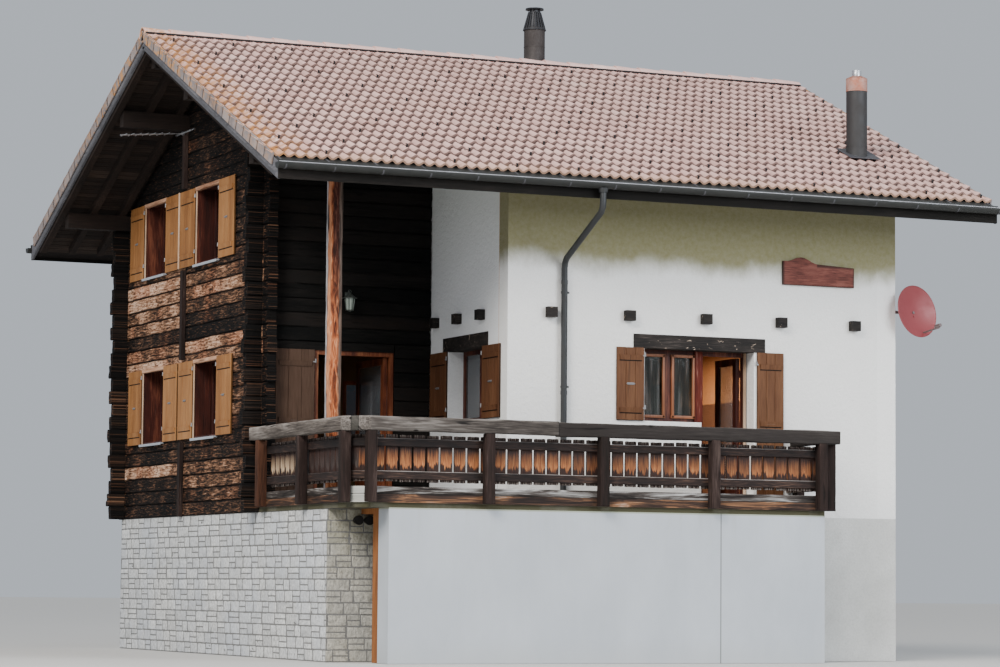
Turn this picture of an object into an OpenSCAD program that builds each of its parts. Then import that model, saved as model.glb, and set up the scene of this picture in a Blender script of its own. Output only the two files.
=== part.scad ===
// Alpine chalet: a log gable house with a rendered masonry half, on a stone-faced basement.
// Millimetres, +Z up. The origin is on the ground under the middle of the house walls.
// +X runs along the ridge, and the terrace side looks towards -Y.

/* [House] */
// Length of the house walls along the ridge
house_len = 8600; // [7600:100:10000]
// Depth of the house walls across the ridge
house_depth = 9050; // [8400:50:9800]
// Height of the basement walls above the lowest ground
base_h = 2000; // [1600:50:2600]
// Thickness of the basement walls
base_t = 350; // [300:10:450]
// Thickness of the rendered masonry walls
masonry_t = 300; // [240:10:400]
// Thickness of the cellar floor
cellar_slab_t = 150; // [100:10:220]
// Length of the stone-faced corner on the terrace side
stone_return = 660; // [500:20:900]
// Living floor above the basement walls
floor_rise = 280; // [240:10:360]
// Terrace floor above the basement walls
terrace_rise = 250; // [200:10:300]
// From the living floor to the upper floor
storey_h = 2560; // [2460:20:2760]
// Section of the floor beams
beam_w = 140; // [100:10:180]
// Distance between the floor beams
beam_step = 1180; // [1000:20:1250]
// How far the beam ends stand out of the masonry
beam_out = 100; // [60:10:160]
// Thickness of the upper floor boards
deck_t = 60; // [40:5:90]

/* [Log walls] */
// Thickness of a squared log
log_t = 140; // [120:10:180]
// Height of one course of logs
log_h = 200; // [160:5:240]
// Depth of the groove between two courses
groove = 14; // [6:1:20]
// How far the log ends stand out past a corner
log_overhang = 270; // [200:10:340]
// Difference between long and short log ends
log_ragged = 60; // [0:5:100]
// The upright that clamps the gable logs, back from the loggia wall
clamp_at = 3420; // [3380:5:3450]
// Depth of the covered terrace corner
loggia_depth = 2650; // [2300:50:2900]
// Length of the covered terrace corner
loggia_len = 2560; // [2200:20:2900]

/* [Roof] */
// Height of the ridge above the basement walls
ridge_rise = 6960; // [6700:5:7400]
// Pitch of the roof
pitch = 23.7; // [20:0.1:28]
// Roof overhang past the log gable
verge_out = 1165; // [900:5:1400]
// Roof overhang past the masonry gable
rear_verge_out = 950; // [700:10:1200]
// From the ridge to the tile edge at the eave, measured level
roof_run = 5810; // [5500:10:6100]
// Ridge set back from the middle of the house
ridge_shift = 75; // [0:5:150]
// Width of one roll of the tiles
roll_w = 150; // [120:5:200]
// Depth of the rolls
roll_d = 42; // [16:2:44]
// Thickness of the tile layer under the rolls
tile_t = 20; // [16:2:44]
// Thickness of the roof boards and the layer above them
roof_board_t = 160; // [120:5:200]
// Height of a rafter
rafter_h = 110; // [90:5:160]
// Width of a rafter
rafter_w = 100; // [80:5:140]
// Distance between rafters
rafter_step = 520; // [450:10:700]
// Width of a purlin
purlin_w = 180; // [140:5:240]
// Height of a purlin
purlin_h = 190; // [160:5:240]
// Purlin ends set in from the verge
purlin_in = 150; // [80:10:300]
// Front middle purlin in from the log wall of the covered corner
mid_purlin_in = 310; // [240:10:500]
// How far the rafters stop short of the eave boards
rafter_short = 350; // [250:10:500]
// Wall purlins out from the ridge
wall_purlin_out = 4300; // [4240:10:4360]
// How far the tiles stand out past the verge boards
tile_over = 24; // [18:1:30]
// How far the tiles hang down over the verge boards
verge_skirt = 135; // [100:5:180]
// Height of the verge boards
verge_h = 210; // [160:5:260]
// Thickness of the verge and eave boards
trim_t = 30; // [20:2:40]
// Radius of the half-round gutters
gutter_r = 80; // [60:5:100]
// Radius of the downpipe
pipe_r = 45; // [35:1:55]

/* [Windows and doors] */
// Width of a gable window
win_w = 1060; // [900:20:1160]
// Height of the gable windows
win_h = 1150; // [1000:10:1250]
// Gable window sills above the floor
sill_up = 850; // [760:10:960]
// Distance of the gable windows from the line between them
win_apart = 1235; // [1220:5:1280]
// That line, back from the middle of the log gable
win_shift = 420; // [380:10:440]
// Depth of a window's boxed lining
lining_d = 360; // [300:10:400]
// Thickness of a window's boxed lining
lining_t = 28; // [20:2:36]
// Thickness of a window sash frame
frame_t = 70; // [55:5:90]
// Width of a frame member
frame_w = 60; // [45:5:75]
// Thickness of a pane
pane_t = 24; // [12:2:32]
// Thickness of a metal sill
sill_t = 25; // [15:5:40]
// How far a sill stands out
sill_out = 60; // [40:5:90]
// Height of the windows in the masonry
low_win_h = 1000; // [900:10:1100]
// Width of the windows in the right and back walls
plain_win_w = 1060; // [900:20:1160]
// Thickness of a shutter
shutter_t = 32; // [24:2:44]
// Width of a gable shutter
shutter_w = 680; // [560:10:720]
// Gap between a shutter and its neighbours
shutter_gap = 15; // [8:1:30]
// Thickness of a door leaf
leaf_t = 56; // [40:2:70]
// Running gap round a door leaf
leaf_gap = 9; // [8:1:14]
// Height of the doorways above the living floor
door_h = 2000; // [1960:10:2100]
// Height of the timber lintels
lintel_h = 190; // [150:10:220]
// Width of the front shutters
front_shutter_w = 420; // [360:10:560]
// Width of the shutters beside the side window
side_shutter_w = 590; // [440:10:600]
// Width of the shutter beside the loggia door
loggia_shutter_w = 580; // [480:10:600]
// The loggia doorway from the log gable
loggia_door_at = 800; // [700:10:860]
// Width of the loggia doorway
loggia_door_w = 1190; // [900:10:1200]
// The front window and door from the log gable
front_unit_at = 4620; // [4400:10:4700]
// Width of the front doorway, inside its frame
front_door_w = 640; // [600:10:700]
// Width of the front window beside the doorway, inside its frame
front_win_w = 820; // [700:10:900]
// The side window from the loggia wall
side_win_at = 620; // [620:5:700]
// Width of the side window to the loggia
side_win_w = 1220; // [900:10:1240]

/* [Terrace] */
// Length of the terrace along the front, from the log gable
terrace_len = 6865; // [6800:5:7200]
// How far the terrace reaches out past the masonry front
terrace_out = 1025; // [850:5:1200]
// Cut-off corner of the terrace
chamfer = 200; // [140:10:300]
// Section of the railing posts
post_w = 130; // [100:5:140]
// Distance between the front railing posts
post_step = 1650; // [1500:10:1700]
// Distance between the side railing posts
side_post_step = 1595; // [1400:5:1650]
// Height of the hand rail beam
rail_h = 185; // [140:5:200]
// Width of the hand rail beam
rail_w = 140; // [120:5:180]
// Top of the hand rail above the terrace floor
rail_up = 915; // [860:5:1000]
// Height of the two boards that hold the infill
stringer_h = 105; // [80:5:120]
// Top of the upper of these boards above the terrace floor
stringer_up = 640; // [600:10:680]
// Top of the lower of these boards above the terrace floor
low_stringer_up = 220; // [180:5:280]
// Thickness of these boards
stringer_t = 40; // [30:5:45]
// Width of an infill board
infill_w = 165; // [120:5:200]
// Gap between infill boards
infill_gap = 25; // [8:1:35]
// Thickness of an infill board
infill_t = 28; // [20:2:30]
// How far the infill boards pass the two long boards
infill_past = 35; // [15:5:60]
// Height of the fascia boards of the terrace
fascia_h = 205; // [160:5:230]
// Thickness of the fascia boards
fascia_t = 30; // [20:2:40]
// Thickness of the panelled wall under the terrace
skirt_t = 150; // [100:10:200]
// Start of the panelled wall from the log gable
skirt_from = 460; // [400:10:600]
// Depth of its open left return
skirt_side = 360; // [300:10:450]
// Depth of the timber jamb at the cellar way
jamb_d = 240; // [160:10:280]
// Distance of the two vent pipes from the log gable
vents_at = [410, 560];
// Radius of the round loggia post
loggia_post_r = 110; // [90:5:115]
// Middle of that post in from the log gable
loggia_post_at = 170; // [170:5:210]

/* [Chimneys and pipes] */
// The front downpipe from the log gable
downpipe_at = 3370; // [3300:10:3500]
// Antenna below the top of the gable clamp
antenna_down = 40; // [35:5:300]
// Middle of the sign board from the log gable
sign_at = 7335; // [7000:5:7500]
// Underside of the sign board above the basement walls
sign_up = 3250; // [3200:10:3500]
// Middle of the round flue from the log gable
flue_at = 8430; // [8000:10:8800]
// Middle of the round flue down from the ridge, measured level
flue_down = 3885; // [3400:5:4300]
// Radius of the round flue
flue_r = 155; // [120:5:180]
// Height of the round flue above the roof
flue_h = 1220; // [900:20:1500]
// Middle of the ridge chimney from the log gable
chimney_at = 5250; // [4800:10:5600]
// The ridge chimney back from the ridge
chimney_back = 450; // [420:10:600]
// Radius of the ridge chimney
chimney_r = 185; // [150:5:220]
// Height of the ridge chimney above the ridge
chimney_h = 480; // [360:10:700]

/* [Hidden] */

$fn = 32;
// House walls
x_l = -house_len/2;
x_r = house_len/2;
y_f = -house_depth/2;
y_b = house_depth/2;
y_log = y_f + loggia_depth;
x_log = x_l + loggia_len;
z_floor = base_h + floor_rise;
z_upper = z_floor + storey_h;
z_deck = z_upper - deck_t;
z_terrace = base_h + terrace_rise;
z_head = z_floor + door_h;
// Roof: every layer is measured square to the slope, down from the crests of the tiles
y_ridge = ridge_shift;
z_ridge = base_h + ridge_rise;
slope_len = roof_run/cos(pitch);
board_at = roll_d + tile_t;
rafter_at = board_at + roof_board_t;
purlin_at = rafter_at + rafter_h;
x_verge = x_l - verge_out;
x_rear = x_r + rear_verge_out;
board_run = roof_run - 60;
rafter_run = board_run - rafter_short;
mid_purlin_at = y_ridge - y_log - log_t - mid_purlin_in;
ridge_joint = 4;
// Seat between faces that rest on each other at an angle or round a bend
seat = 0.3;
// Gable windows, counted from the middle of the log gable
log_gable_depth = house_depth - loggia_depth;
y_gable = y_log + log_gable_depth/2 + win_shift;
gable_sills_z = [z_floor + sill_up, z_upper + sill_up];
// Doorways and the windows beside them
x_loggia_door = x_l + loggia_door_at;
x_front_win = x_l + front_unit_at;
front_mullion = 110;
front_unit_w = front_win_w + front_door_w + 4*frame_w;
x_front_mullion = x_front_win + frame_w + front_win_w;
x_front_door = x_front_mullion + 2*frame_w;
front_light_w = (front_win_w - front_mullion)/2;
front_lights = [frame_w, frame_w + front_light_w + front_mullion];
z_low_sill = z_head - low_win_h;
y_side_win = y_log - side_win_at;
log_frame_in = 30;
lintel_in = 100;
front_frame_in = masonry_t - frame_t;
// Terrace
y_t = y_f - terrace_out;
x_t = x_l + terrace_len;
rail_line = fascia_t + post_w/2;
front_posts = floor((terrace_len - chamfer)/post_step) + 1;
side_posts = floor((terrace_out + loggia_depth - chamfer)/side_post_step) + 1;

// Height of a roof layer at one place across the house
function roof_z(y, at) = z_ridge - abs(y - y_ridge)*tan(pitch) - at/cos(pitch);

// Place along the front slope, along the ridge, down the slope and out of it
module on_front_slope() {
  translate([0, y_ridge, z_ridge]) rotate([pitch, 0, 0]) mirror([0, 1, 0]) children();
}

module on_back_slope() {
  translate([0, y_ridge, z_ridge]) rotate([-pitch, 0, 0]) children();
}

// Turns a drawing of the house's cross-section (y, z) into a solid from x0 to x1
module across(x0, x1) {
  translate([x0, 0, 0]) rotate([90, 0, 90]) linear_extrude(x1 - x0) children();
}

// Turns a drawing seen from the front (x, z) into a solid from y0 to y1
module along(y0, y1) {
  translate([0, y1, 0]) rotate([90, 0, 0]) linear_extrude(y1 - y0) children();
}

module box(from, to) {
  translate(from) cube(to - from);
}

// Everything below one layer of the roof
module under_roof(at) {
  reach = roof_run + 800;
  across(x_verge - 500, x_rear + 500) polygon([
    [y_ridge - reach, -100], [y_ridge + reach, -100], [y_ridge + reach, roof_z(y_ridge + reach, at)],
    [y_ridge, roof_z(y_ridge, at)], [y_ridge - reach, roof_z(y_ridge - reach, at)]]);
}

// The bands between two roof layers on both slopes, cut plumb at a run out from the ridge
module roof_bands(top, bottom, run) {
  for (side = [-1, 1]) {
    high = y_ridge + side*ridge_joint/2;
    low = y_ridge + side*run;
    polygon([[high, roof_z(high, top)], [low, roof_z(low, top)], [low, roof_z(low, bottom)],
      [high, roof_z(high, bottom)]]);
  }
}

// Faces of the walls: x across the opening as seen from outside, y inwards, z up
module on_front(x, z) {
  translate([x, y_f, z]) children();
}

module on_gable(x_face, y, z) {
  translate([x_face, y, z]) rotate([0, 0, -90]) children();
}

module on_right(y, z) {
  translate([x_r, y, z]) rotate([0, 0, 90]) children();
}

module on_back(x, z) {
  translate([x, y_b, z]) rotate([0, 0, 180]) children();
}

module on_loggia(x, z) {
  translate([x, y_log, z]) children();
}

// Window places, each drawn with its own width and height
module each_gable_window() {
  for (side = [-1, 1], z = gable_sills_z)
    on_gable(x_l, y_gable + side*win_apart + win_w/2, z) children();
}

module each_right_window() {
  for (y = [-2100, 2100], z = gable_sills_z) on_right(y - plain_win_w/2, z) children();
}

module each_back_window() {
  for (x = [-200, 2500]) on_back(x + plain_win_w/2, z_low_sill) children();
}

module side_window() {
  on_gable(x_log, y_side_win, z_low_sill) children();
}

module front_window() {
  on_front(x_front_win, 0) children();
}

// The hole that a window needs in its wall, with room for the sill under it
module window_hole(w, h) {
  box([0, -20, -sill_t], [w, 500, h]);
}

// Outline of the window and door in one frame, seen from the front
module front_unit_outline() {
  polygon([[x_front_win, z_low_sill], [x_front_mullion, z_low_sill], [x_front_mullion, z_floor],
    [x_front_win + front_unit_w, z_floor], [x_front_win + front_unit_w, z_head], [x_front_win, z_head]]);
}

// Basement

module cellar_floor() {
  color("gray")
  box([x_l + base_t, y_f + base_t, 0], [x_r - base_t, y_b - base_t, cellar_slab_t]);
}

module stone_base_wall() {
  color("gainsboro") {
    box([x_l, y_f, 0], [x_l + base_t, y_b, base_h]);
    box([x_l, y_f, 0], [x_l + stone_return, y_f + base_t, base_h]);
  }
}

module plain_base_wall() {
  color("whitesmoke") {
    box([x_l + stone_return, y_f, 0], [x_r, y_f + base_t, base_h]);
    box([x_r - base_t, y_f, 0], [x_r, y_b, base_h]);
    box([x_l + base_t, y_b - base_t, 0], [x_r, y_b, base_h]);
  }
}

module terrace_skirt_wall() {
  color("lightsteelblue") {
    box([x_l + skirt_from, y_t, 0], [x_t, y_t + skirt_t, base_h]);
    box([x_l + skirt_from, y_t, 0], [x_l + skirt_from + skirt_t, y_t + skirt_side, base_h]);
    box([x_t - skirt_t, y_t, 0], [x_t, y_f, base_h]);
  }
}

jamb_in = 20;
jamb_w = 90;
jamb_head_h = 70;

// Jamb and head of the way in under the terrace
module cellar_frame() {
  x0 = x_l + skirt_from + jamb_in;
  y0 = y_t + skirt_side;
  color("sienna") {
    box([x0, y0, 0], [x0 + jamb_w, y0 + jamb_d, base_h - jamb_head_h]);
    box([x0, y0, base_h - jamb_head_h], [x0 + jamb_w, y_f, base_h]);
  }
}

vent_down = 150;
vent_r = 45;
vent_out = 70;
vent_rim = 17;
vent_rim_t = 40;

module terrace_vents() {
  color("black")
  for (x = vents_at)
    translate([x_l + x, y_f, base_h - vent_down]) rotate([90, 0, 0]) {
      cylinder(r = vent_r, h = vent_out);
      translate([0, 0, vent_out]) cylinder(r = vent_r + vent_rim, h = vent_rim_t);
    }
}

// Floors and terrace

module living_floor() {
  x0 = x_l + log_t;
  color("tan")
  translate([0, 0, base_h]) linear_extrude(floor_rise)
    polygon([[x0, y_b - log_t], [x0, y_log + log_t], [x_log + masonry_t, y_log + log_t],
      [x_log + masonry_t, y_f + masonry_t], [x_r - masonry_t, y_f + masonry_t],
      [x_r - masonry_t, y_b - masonry_t], [x_log, y_b - masonry_t], [x_log, y_b - log_t]]);
}

// The open edge of the terrace, moved out, from y_end on the left round to the wall on the right
function terrace_outline(out, y_end = y_log) = [[x_l - out, y_end],
  [x_l - out, y_t + chamfer - out*tan(22.5)], [x_l + chamfer - out*tan(22.5), y_t - out],
  [x_t + out, y_t - out], [x_t + out, y_f]];

module terrace_slab() {
  color("darkgray")
  translate([0, 0, base_h]) linear_extrude(terrace_rise)
    polygon(concat(terrace_outline(0), [[x_log, y_f], [x_log, y_log]]));
}

// A band of one thickness along the open edge of the terrace
module terrace_band(inner, outer, z0, z1, y_end = y_log) {
  inside = terrace_outline(inner, y_end);
  outside = terrace_outline(outer, y_end);
  translate([0, 0, z0]) linear_extrude(z1 - z0)
    polygon(concat(outside, [for (i = [len(inside) - 1:-1:0]) inside[i]]));
}

fascia_up = 65;

module terrace_fascia() {
  z0 = base_h + fascia_up;
  color("silver")
  terrace_band(0, fascia_t, z0, z0 + fascia_h);
}

// The corner posts stand a little past the ends of the cut-off corner
post_past = 35;
end_post_in = 60;
function front_post_x(i) = x_l + chamfer - post_past + i*post_step;
function side_post_y(i) = y_t + chamfer - post_past + i*side_post_step;

module terrace_posts() {
  z0 = base_h + fascia_up;
  z1 = z_terrace + rail_up - rail_h;
  color("saddlebrown") {
    for (i = [0:front_posts - 1])
      box([front_post_x(i) - post_w/2, y_t - fascia_t - post_w, z0],
        [front_post_x(i) + post_w/2, y_t - fascia_t, z1]);
    for (i = [0:side_posts - 1])
      box([x_l - fascia_t - post_w, side_post_y(i) - post_w/2, z0],
        [x_l - fascia_t, side_post_y(i) + post_w/2, z1]);
    for (y = [y_t + post_past, y_f - post_w/2 - end_post_in])
      box([x_t + fascia_t, y - post_w/2, z0], [x_t + fascia_t + post_w, y + post_w/2, z1]);
  }
}

module terrace_hand_rails() {
  z1 = z_terrace + rail_up;
  color("gray")
  terrace_band(rail_line - rail_w/2, rail_line + rail_w/2, z1 - rail_h, z1);
}

// Two long boards round the terrace that hold a row of short boards behind them
module terrace_infill() {
  z_top = z_terrace + stringer_up;
  z_low = z_terrace + low_stringer_up;
  z0 = z_low - stringer_h - infill_past;
  z1 = z_terrace + rail_up - rail_h - infill_past;
  outer = rail_line - post_w/2;
  inner = outer - stringer_t;
  y_end = y_log - log_overhang - 5;
  step = infill_w + infill_gap;
  color("peru") {
    terrace_band(inner, outer, z_top - stringer_h, z_top, y_end);
    terrace_band(inner, outer, z_low - stringer_h, z_low, y_end);
    difference() {
      terrace_band(inner - infill_t, inner, z0, z1, y_end);
      for (x = [x_l + chamfer:step:x_t])
        box([x, y_t - 200, z0 - 1], [x + infill_gap, y_t + 200, z1 + 1]);
      for (y = [y_t + chamfer:step:y_end])
        box([x_l - 200, y, z0 - 1], [x_l + 200, y + infill_gap, z1 + 1]);
      for (y = [y_t + infill_w/2:step:y_f])
        box([x_t - 200, y, z0 - 1], [x_t + 200, y + infill_gap, z1 + 1]);
    }
  }
}

module loggia_post() {
  y = y_ridge - wall_purlin_out;
  z1 = roof_z(y, purlin_at) - purlin_h;
  color("chocolate")
  translate([x_l + loggia_post_at, y, z_terrace]) cylinder(r = loggia_post_r, h = z1 - z_terrace);
}

// Log walls

// Cross-section of a wall of squared logs, with a groove between courses on both faces
module log_section(courses) {
  outer = [for (i = [0:courses - 1], p = [[groove, 0], [0, groove], [0, log_h - groove]])
    [p[0], p[1] + i*log_h]];
  top = [[groove, courses*log_h], [log_t - groove, courses*log_h]];
  inner = [for (i = [courses - 1:-1:0], p = [[log_t, log_h - groove], [log_t, groove], [log_t - groove, 0]])
    [p[0], p[1] + i*log_h]];
  polygon(concat(outer, top, inner));
}

// The share of the ragged length that one course is cut back by
function ragged(i) = log_ragged*((i*7 + 3)%5)/4;

// Courses of logs along +x from x = 0, with the outer face at y = 0
module log_run(length, courses) {
  rotate([90, 0, 90]) linear_extrude(length) log_section(courses);
}

courses = ceil((z_ridge - base_h)/log_h);

// Cuts the ends of the courses to their own lengths, in a box past the end at x
module ragged_cut(x, dir, courses) {
  for (i = [0:courses - 1])
    translate([dir > 0 ? x - ragged(i) : x - 1, -20, i*log_h]) cube([ragged(i) + 1, log_t + 40, log_h]);
}

// The half of each course that a crossing wall takes at a corner, over the square column at x
module corner_lap(x, upper) {
  for (i = [0:courses - 1])
    translate([x, -1, (i + (upper ? 0.5 : 0))*log_h]) cube([log_t, log_t + 2, log_h/2]);
}

module gable_log_wall() {
  length = log_gable_depth + 2*log_overhang;
  color("saddlebrown") difference() {
    intersection() {
      translate([x_l, y_b + log_overhang, base_h]) rotate([0, 0, -90]) difference() {
        log_run(length, courses);
        ragged_cut(0, -1, courses);
        ragged_cut(length, 1, courses);
        corner_lap(log_overhang, true);
        corner_lap(length - log_overhang - log_t, true);
      }
      under_roof(rafter_at + seat);
    }
    each_gable_window() window_hole(win_w, win_h);
    purlin_solids();
    box([x_l - 20, y_log - log_overhang - 10, base_h], [x_l + log_t + 20, y_log, z_terrace]);
  }
}

// The log wall at the back of the loggia, whole, before it is split round its doorway
module loggia_log_solid() {
  length = loggia_len + log_overhang;
  difference() {
    intersection() {
      translate([x_l - log_overhang, y_log, base_h]) difference() {
        log_run(length, courses);
        ragged_cut(0, -1, courses);
        corner_lap(log_overhang, false);
      }
      under_roof(purlin_at + seat);
    }
    box([x_loggia_door, y_log - 20, z_floor], [x_loggia_door + loggia_door_w, y_log + log_t + 20, z_head]);
    purlin_solids();
  }
}

z_split = base_h + ceil((z_head - base_h)/log_h)*log_h;

module loggia_log_wall_left() {
  color("saddlebrown") intersection() {
    loggia_log_solid();
    union() {
      box([x_l - log_overhang - 10, y_log - 20, base_h], [x_loggia_door, y_log + log_t + 20, z_split]);
      box([x_l, y_log - 20, base_h], [x_loggia_door + loggia_door_w, y_log + log_t + 20, z_floor]);
    }
  }
}

module loggia_log_wall_right() {
  color("saddlebrown") intersection() {
    loggia_log_solid();
    box([x_loggia_door + loggia_door_w, y_log - 20, base_h], [x_log + 10, y_log + log_t + 20, z_split]);
  }
}

module loggia_log_wall_over() {
  color("saddlebrown") intersection() {
    loggia_log_solid();
    union() {
      box([x_l - log_overhang - 10, y_log - 20, z_split], [x_log + 10, y_log + log_t + 20, z_ridge]);
      box([x_loggia_door, y_log - 20, z_head], [x_loggia_door + loggia_door_w, y_log + log_t + 20, z_split]);
    }
  }
}

module back_log_wall() {
  length = loggia_len + log_overhang;
  color("saddlebrown") difference() {
    intersection() {
      translate([x_l - log_overhang, y_b - log_t, base_h]) difference() {
        log_run(length, courses);
        ragged_cut(0, -1, courses);
        corner_lap(log_overhang, false);
      }
      under_roof(purlin_at + seat);
    }
    purlin_solids();
  }
}

clamp_t = 60;
clamp_w = 110;
clamp_top = roof_z(y_ridge + mid_purlin_at, purlin_at) - purlin_h;

// Upright timber that holds the gable logs in line, left out behind the shutters
module gable_clamp() {
  y = y_log + clamp_at;
  gap = 40;
  z_top = clamp_top;
  color("brown")
  for (z = [[base_h, gable_sills_z[0] - gap], [gable_sills_z[0] + win_h + gap, gable_sills_z[1] - gap],
      [gable_sills_z[1] + win_h + gap, z_top]])
    box([x_l - clamp_t, y - clamp_w/2, z[0]], [x_l, y + clamp_w/2, z[1]]);
}

// Masonry walls

module loggia_masonry_wall() {
  color("white") difference() {
    intersection() {
      box([x_log, y_f + masonry_t, base_h], [x_log + masonry_t, y_log + log_t, z_ridge]);
      under_roof(purlin_at + seat);
    }
    side_window() window_hole(side_win_w, low_win_h);
    purlin_solids();
    lintel_solids();
    floor_beam_solids();
  }
}

// The front wall, whole, before it is split round its doorway
module front_wall_solid() {
  difference() {
    intersection() {
      box([x_log, y_f, base_h], [x_r - masonry_t, y_f + masonry_t, z_ridge]);
      under_roof(purlin_at + seat);
    }
    along(y_f - 20, y_f + masonry_t + 20) front_unit_outline();
    purlin_solids();
    lintel_solids();
    floor_beam_solids();
  }
}

module front_wall_left() {
  x1 = x_front_win + front_unit_w;
  color("white") intersection() {
    front_wall_solid();
    union() {
      box([x_log, y_f, base_h], [x_front_win, y_f + masonry_t, z_ridge]);
      box([x_front_win, y_f, base_h], [x_front_mullion, y_f + masonry_t, z_low_sill]);
      box([x_front_mullion, y_f, base_h], [x1, y_f + masonry_t, z_floor]);
    }
  }
}

module front_wall_right() {
  color("white") intersection() {
    front_wall_solid();
    box([x_front_win + front_unit_w, y_f, base_h], [x_r - masonry_t, y_f + masonry_t, z_ridge]);
  }
}

module front_wall_over() {
  color("white") intersection() {
    front_wall_solid();
    box([x_front_win, y_f, z_head], [x_front_win + front_unit_w, y_f + masonry_t, z_ridge]);
  }
}

module right_masonry_wall() {
  color("white") difference() {
    intersection() {
      box([x_r - masonry_t, y_f, base_h], [x_r, y_b, z_ridge]);
      under_roof(rafter_at + seat);
    }
    each_right_window() window_hole(plain_win_w, win_h);
    purlin_solids();
  }
}

module back_masonry_wall() {
  color("white") difference() {
    intersection() {
      box([x_log, y_b - masonry_t, base_h], [x_r - masonry_t, y_b, z_ridge]);
      under_roof(purlin_at + seat);
    }
    each_back_window() window_hole(plain_win_w, low_win_h);
    purlin_solids();
  }
}

// Upper floor

module upper_floor() {
  color("burlywood")
  translate([0, 0, z_deck]) linear_extrude(deck_t)
    polygon([[x_l + log_t, y_b - log_t], [x_l + log_t, y_log + log_t], [x_log + masonry_t, y_log + log_t],
      [x_log + masonry_t, y_f + masonry_t], [x_r - masonry_t, y_f + masonry_t],
      [x_r - masonry_t, y_b - masonry_t], [x_log, y_b - masonry_t], [x_log, y_b - log_t]]);
}

first_beam = x_log + 630;
beams = floor((x_r - masonry_t - first_beam - beam_w)/beam_step) + 1;

module floor_beam_solids() {
  for (i = [0:beams - 1]) {
    x = first_beam + i*beam_step;
    box([x - beam_w/2, y_f - beam_out, z_deck - beam_w], [x + beam_w/2, y_b - masonry_t, z_deck]);
  }
  for (y = [y_log - 210, y_log - 1010, y_log - 1820])
    box([x_log - beam_out, y - beam_w/2, z_deck - beam_w], [first_beam - beam_w/2, y + beam_w/2, z_deck]);
}

module floor_beams() {
  color("black") floor_beam_solids();
}

module lintel_solids() {
  past = 170;
  box([x_front_win - past, y_f - 15, z_head],
    [x_front_win + front_unit_w + past, y_f + lintel_in, z_head + lintel_h]);
  box([x_log - 15, y_side_win - side_win_w - past, z_head],
    [x_log + lintel_in, y_side_win + past, z_head + lintel_h]);
}

module lintels() {
  color("black") lintel_solids();
}

// Windows

// A boxed lining with a two-light sash frame at its inner end
module window_frame(w, h, deep) {
  difference() {
    box([0, 0, 0], [w, deep, h]);
    box([lining_t, -1, lining_t], [w - lining_t, deep - frame_t, h - lining_t]);
    for (x = [frame_w, w/2 + frame_w/2])
      box([x, -1, frame_w], [x + w/2 - 1.5*frame_w, deep + 1, h - frame_w]);
  }
}

// A two-light frame set back in a masonry reveal
module plain_frame(w, h) {
  difference() {
    box([0, front_frame_in, 0], [w, masonry_t, h]);
    for (x = [frame_w, w/2 + frame_w/2])
      box([x, 0, frame_w], [x + w/2 - 1.5*frame_w, masonry_t + 1, h - frame_w]);
  }
}

module window_pane(w, h, deep) {
  y0 = deep - frame_t/2 - pane_t/2;
  for (x = [frame_w, w/2 + frame_w/2])
    box([x, y0, frame_w], [x + w/2 - 1.5*frame_w, y0 + pane_t, h - frame_w]);
}

module window_frames() {
  color("firebrick") {
    each_gable_window() window_frame(win_w, win_h, lining_d);
    each_right_window() plain_frame(plain_win_w, win_h);
    each_back_window() plain_frame(plain_win_w, low_win_h);
    side_window() plain_frame(side_win_w, low_win_h);
  }
}

module window_glass() {
  color("lightblue") {
    each_gable_window() window_pane(win_w, win_h, lining_d);
    each_right_window() window_pane(plain_win_w, win_h, masonry_t);
    each_back_window() window_pane(plain_win_w, low_win_h, masonry_t);
    side_window() window_pane(side_win_w, low_win_h, masonry_t);
    for (x = front_lights)
      front_window() box([x, front_frame_in + frame_t/2 - pane_t/2, z_low_sill + frame_w],
        [x + front_light_w, front_frame_in + frame_t/2 + pane_t/2, z_head - frame_w]);
  }
}

module window_sill(w, deep) {
  box([0, -sill_out, -sill_t], [w, deep, 0]);
}

module window_sills() {
  color("lightgray") {
    each_gable_window() window_sill(win_w, log_t);
    each_right_window() window_sill(plain_win_w, masonry_t);
    each_back_window() window_sill(plain_win_w, masonry_t);
    side_window() window_sill(side_win_w, masonry_t);
  }
}

// A shutter folded back against the wall, with two ledges, left edge at x
module shutter(x, w, h, ledges) {
  box([x, -shutter_t, 0], [x + w, 0, h]);
  for (z = ledges) box([x + 40, -shutter_t - 22, z*h - 35], [x + w - 40, -shutter_t, z*h + 35]);
}

// A shutter on each side of an opening of width w
module shutter_pair(w, shutter, h, ledges) {
  shutter(-shutter_gap - shutter, shutter, h, ledges);
  shutter(w + shutter_gap, shutter, h, ledges);
}

two_ledges = [0.14, 0.86];
three_ledges = [0.09, 0.5, 0.9];
shutter_up = 40;
door_shutter_gap = 40;

module shutters() {
  door_drop = z_low_sill - z_terrace - shutter_up;
  color("goldenrod") {
    each_gable_window() shutter_pair(win_w, shutter_w, win_h, two_ledges);
    each_right_window() shutter_pair(plain_win_w, shutter_w, win_h, two_ledges);
    each_back_window() shutter_pair(plain_win_w, shutter_w, low_win_h, two_ledges);
    side_window() shutter_pair(side_win_w, side_shutter_w, low_win_h, two_ledges);
    front_window() translate([0, 0, z_low_sill])
      shutter(-shutter_gap - front_shutter_w, front_shutter_w, low_win_h, two_ledges);
    front_window() translate([0, 0, z_low_sill - door_drop])
      shutter(front_unit_w + door_shutter_gap, front_shutter_w, low_win_h + door_drop, three_ledges);
    on_loggia(x_loggia_door, z_terrace + shutter_up)
      shutter(-shutter_gap - loggia_shutter_w, loggia_shutter_w, z_head - z_terrace - shutter_up, three_ledges);
  }
}

// Doors, drawn at rest: swung a quarter turn inwards

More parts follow.
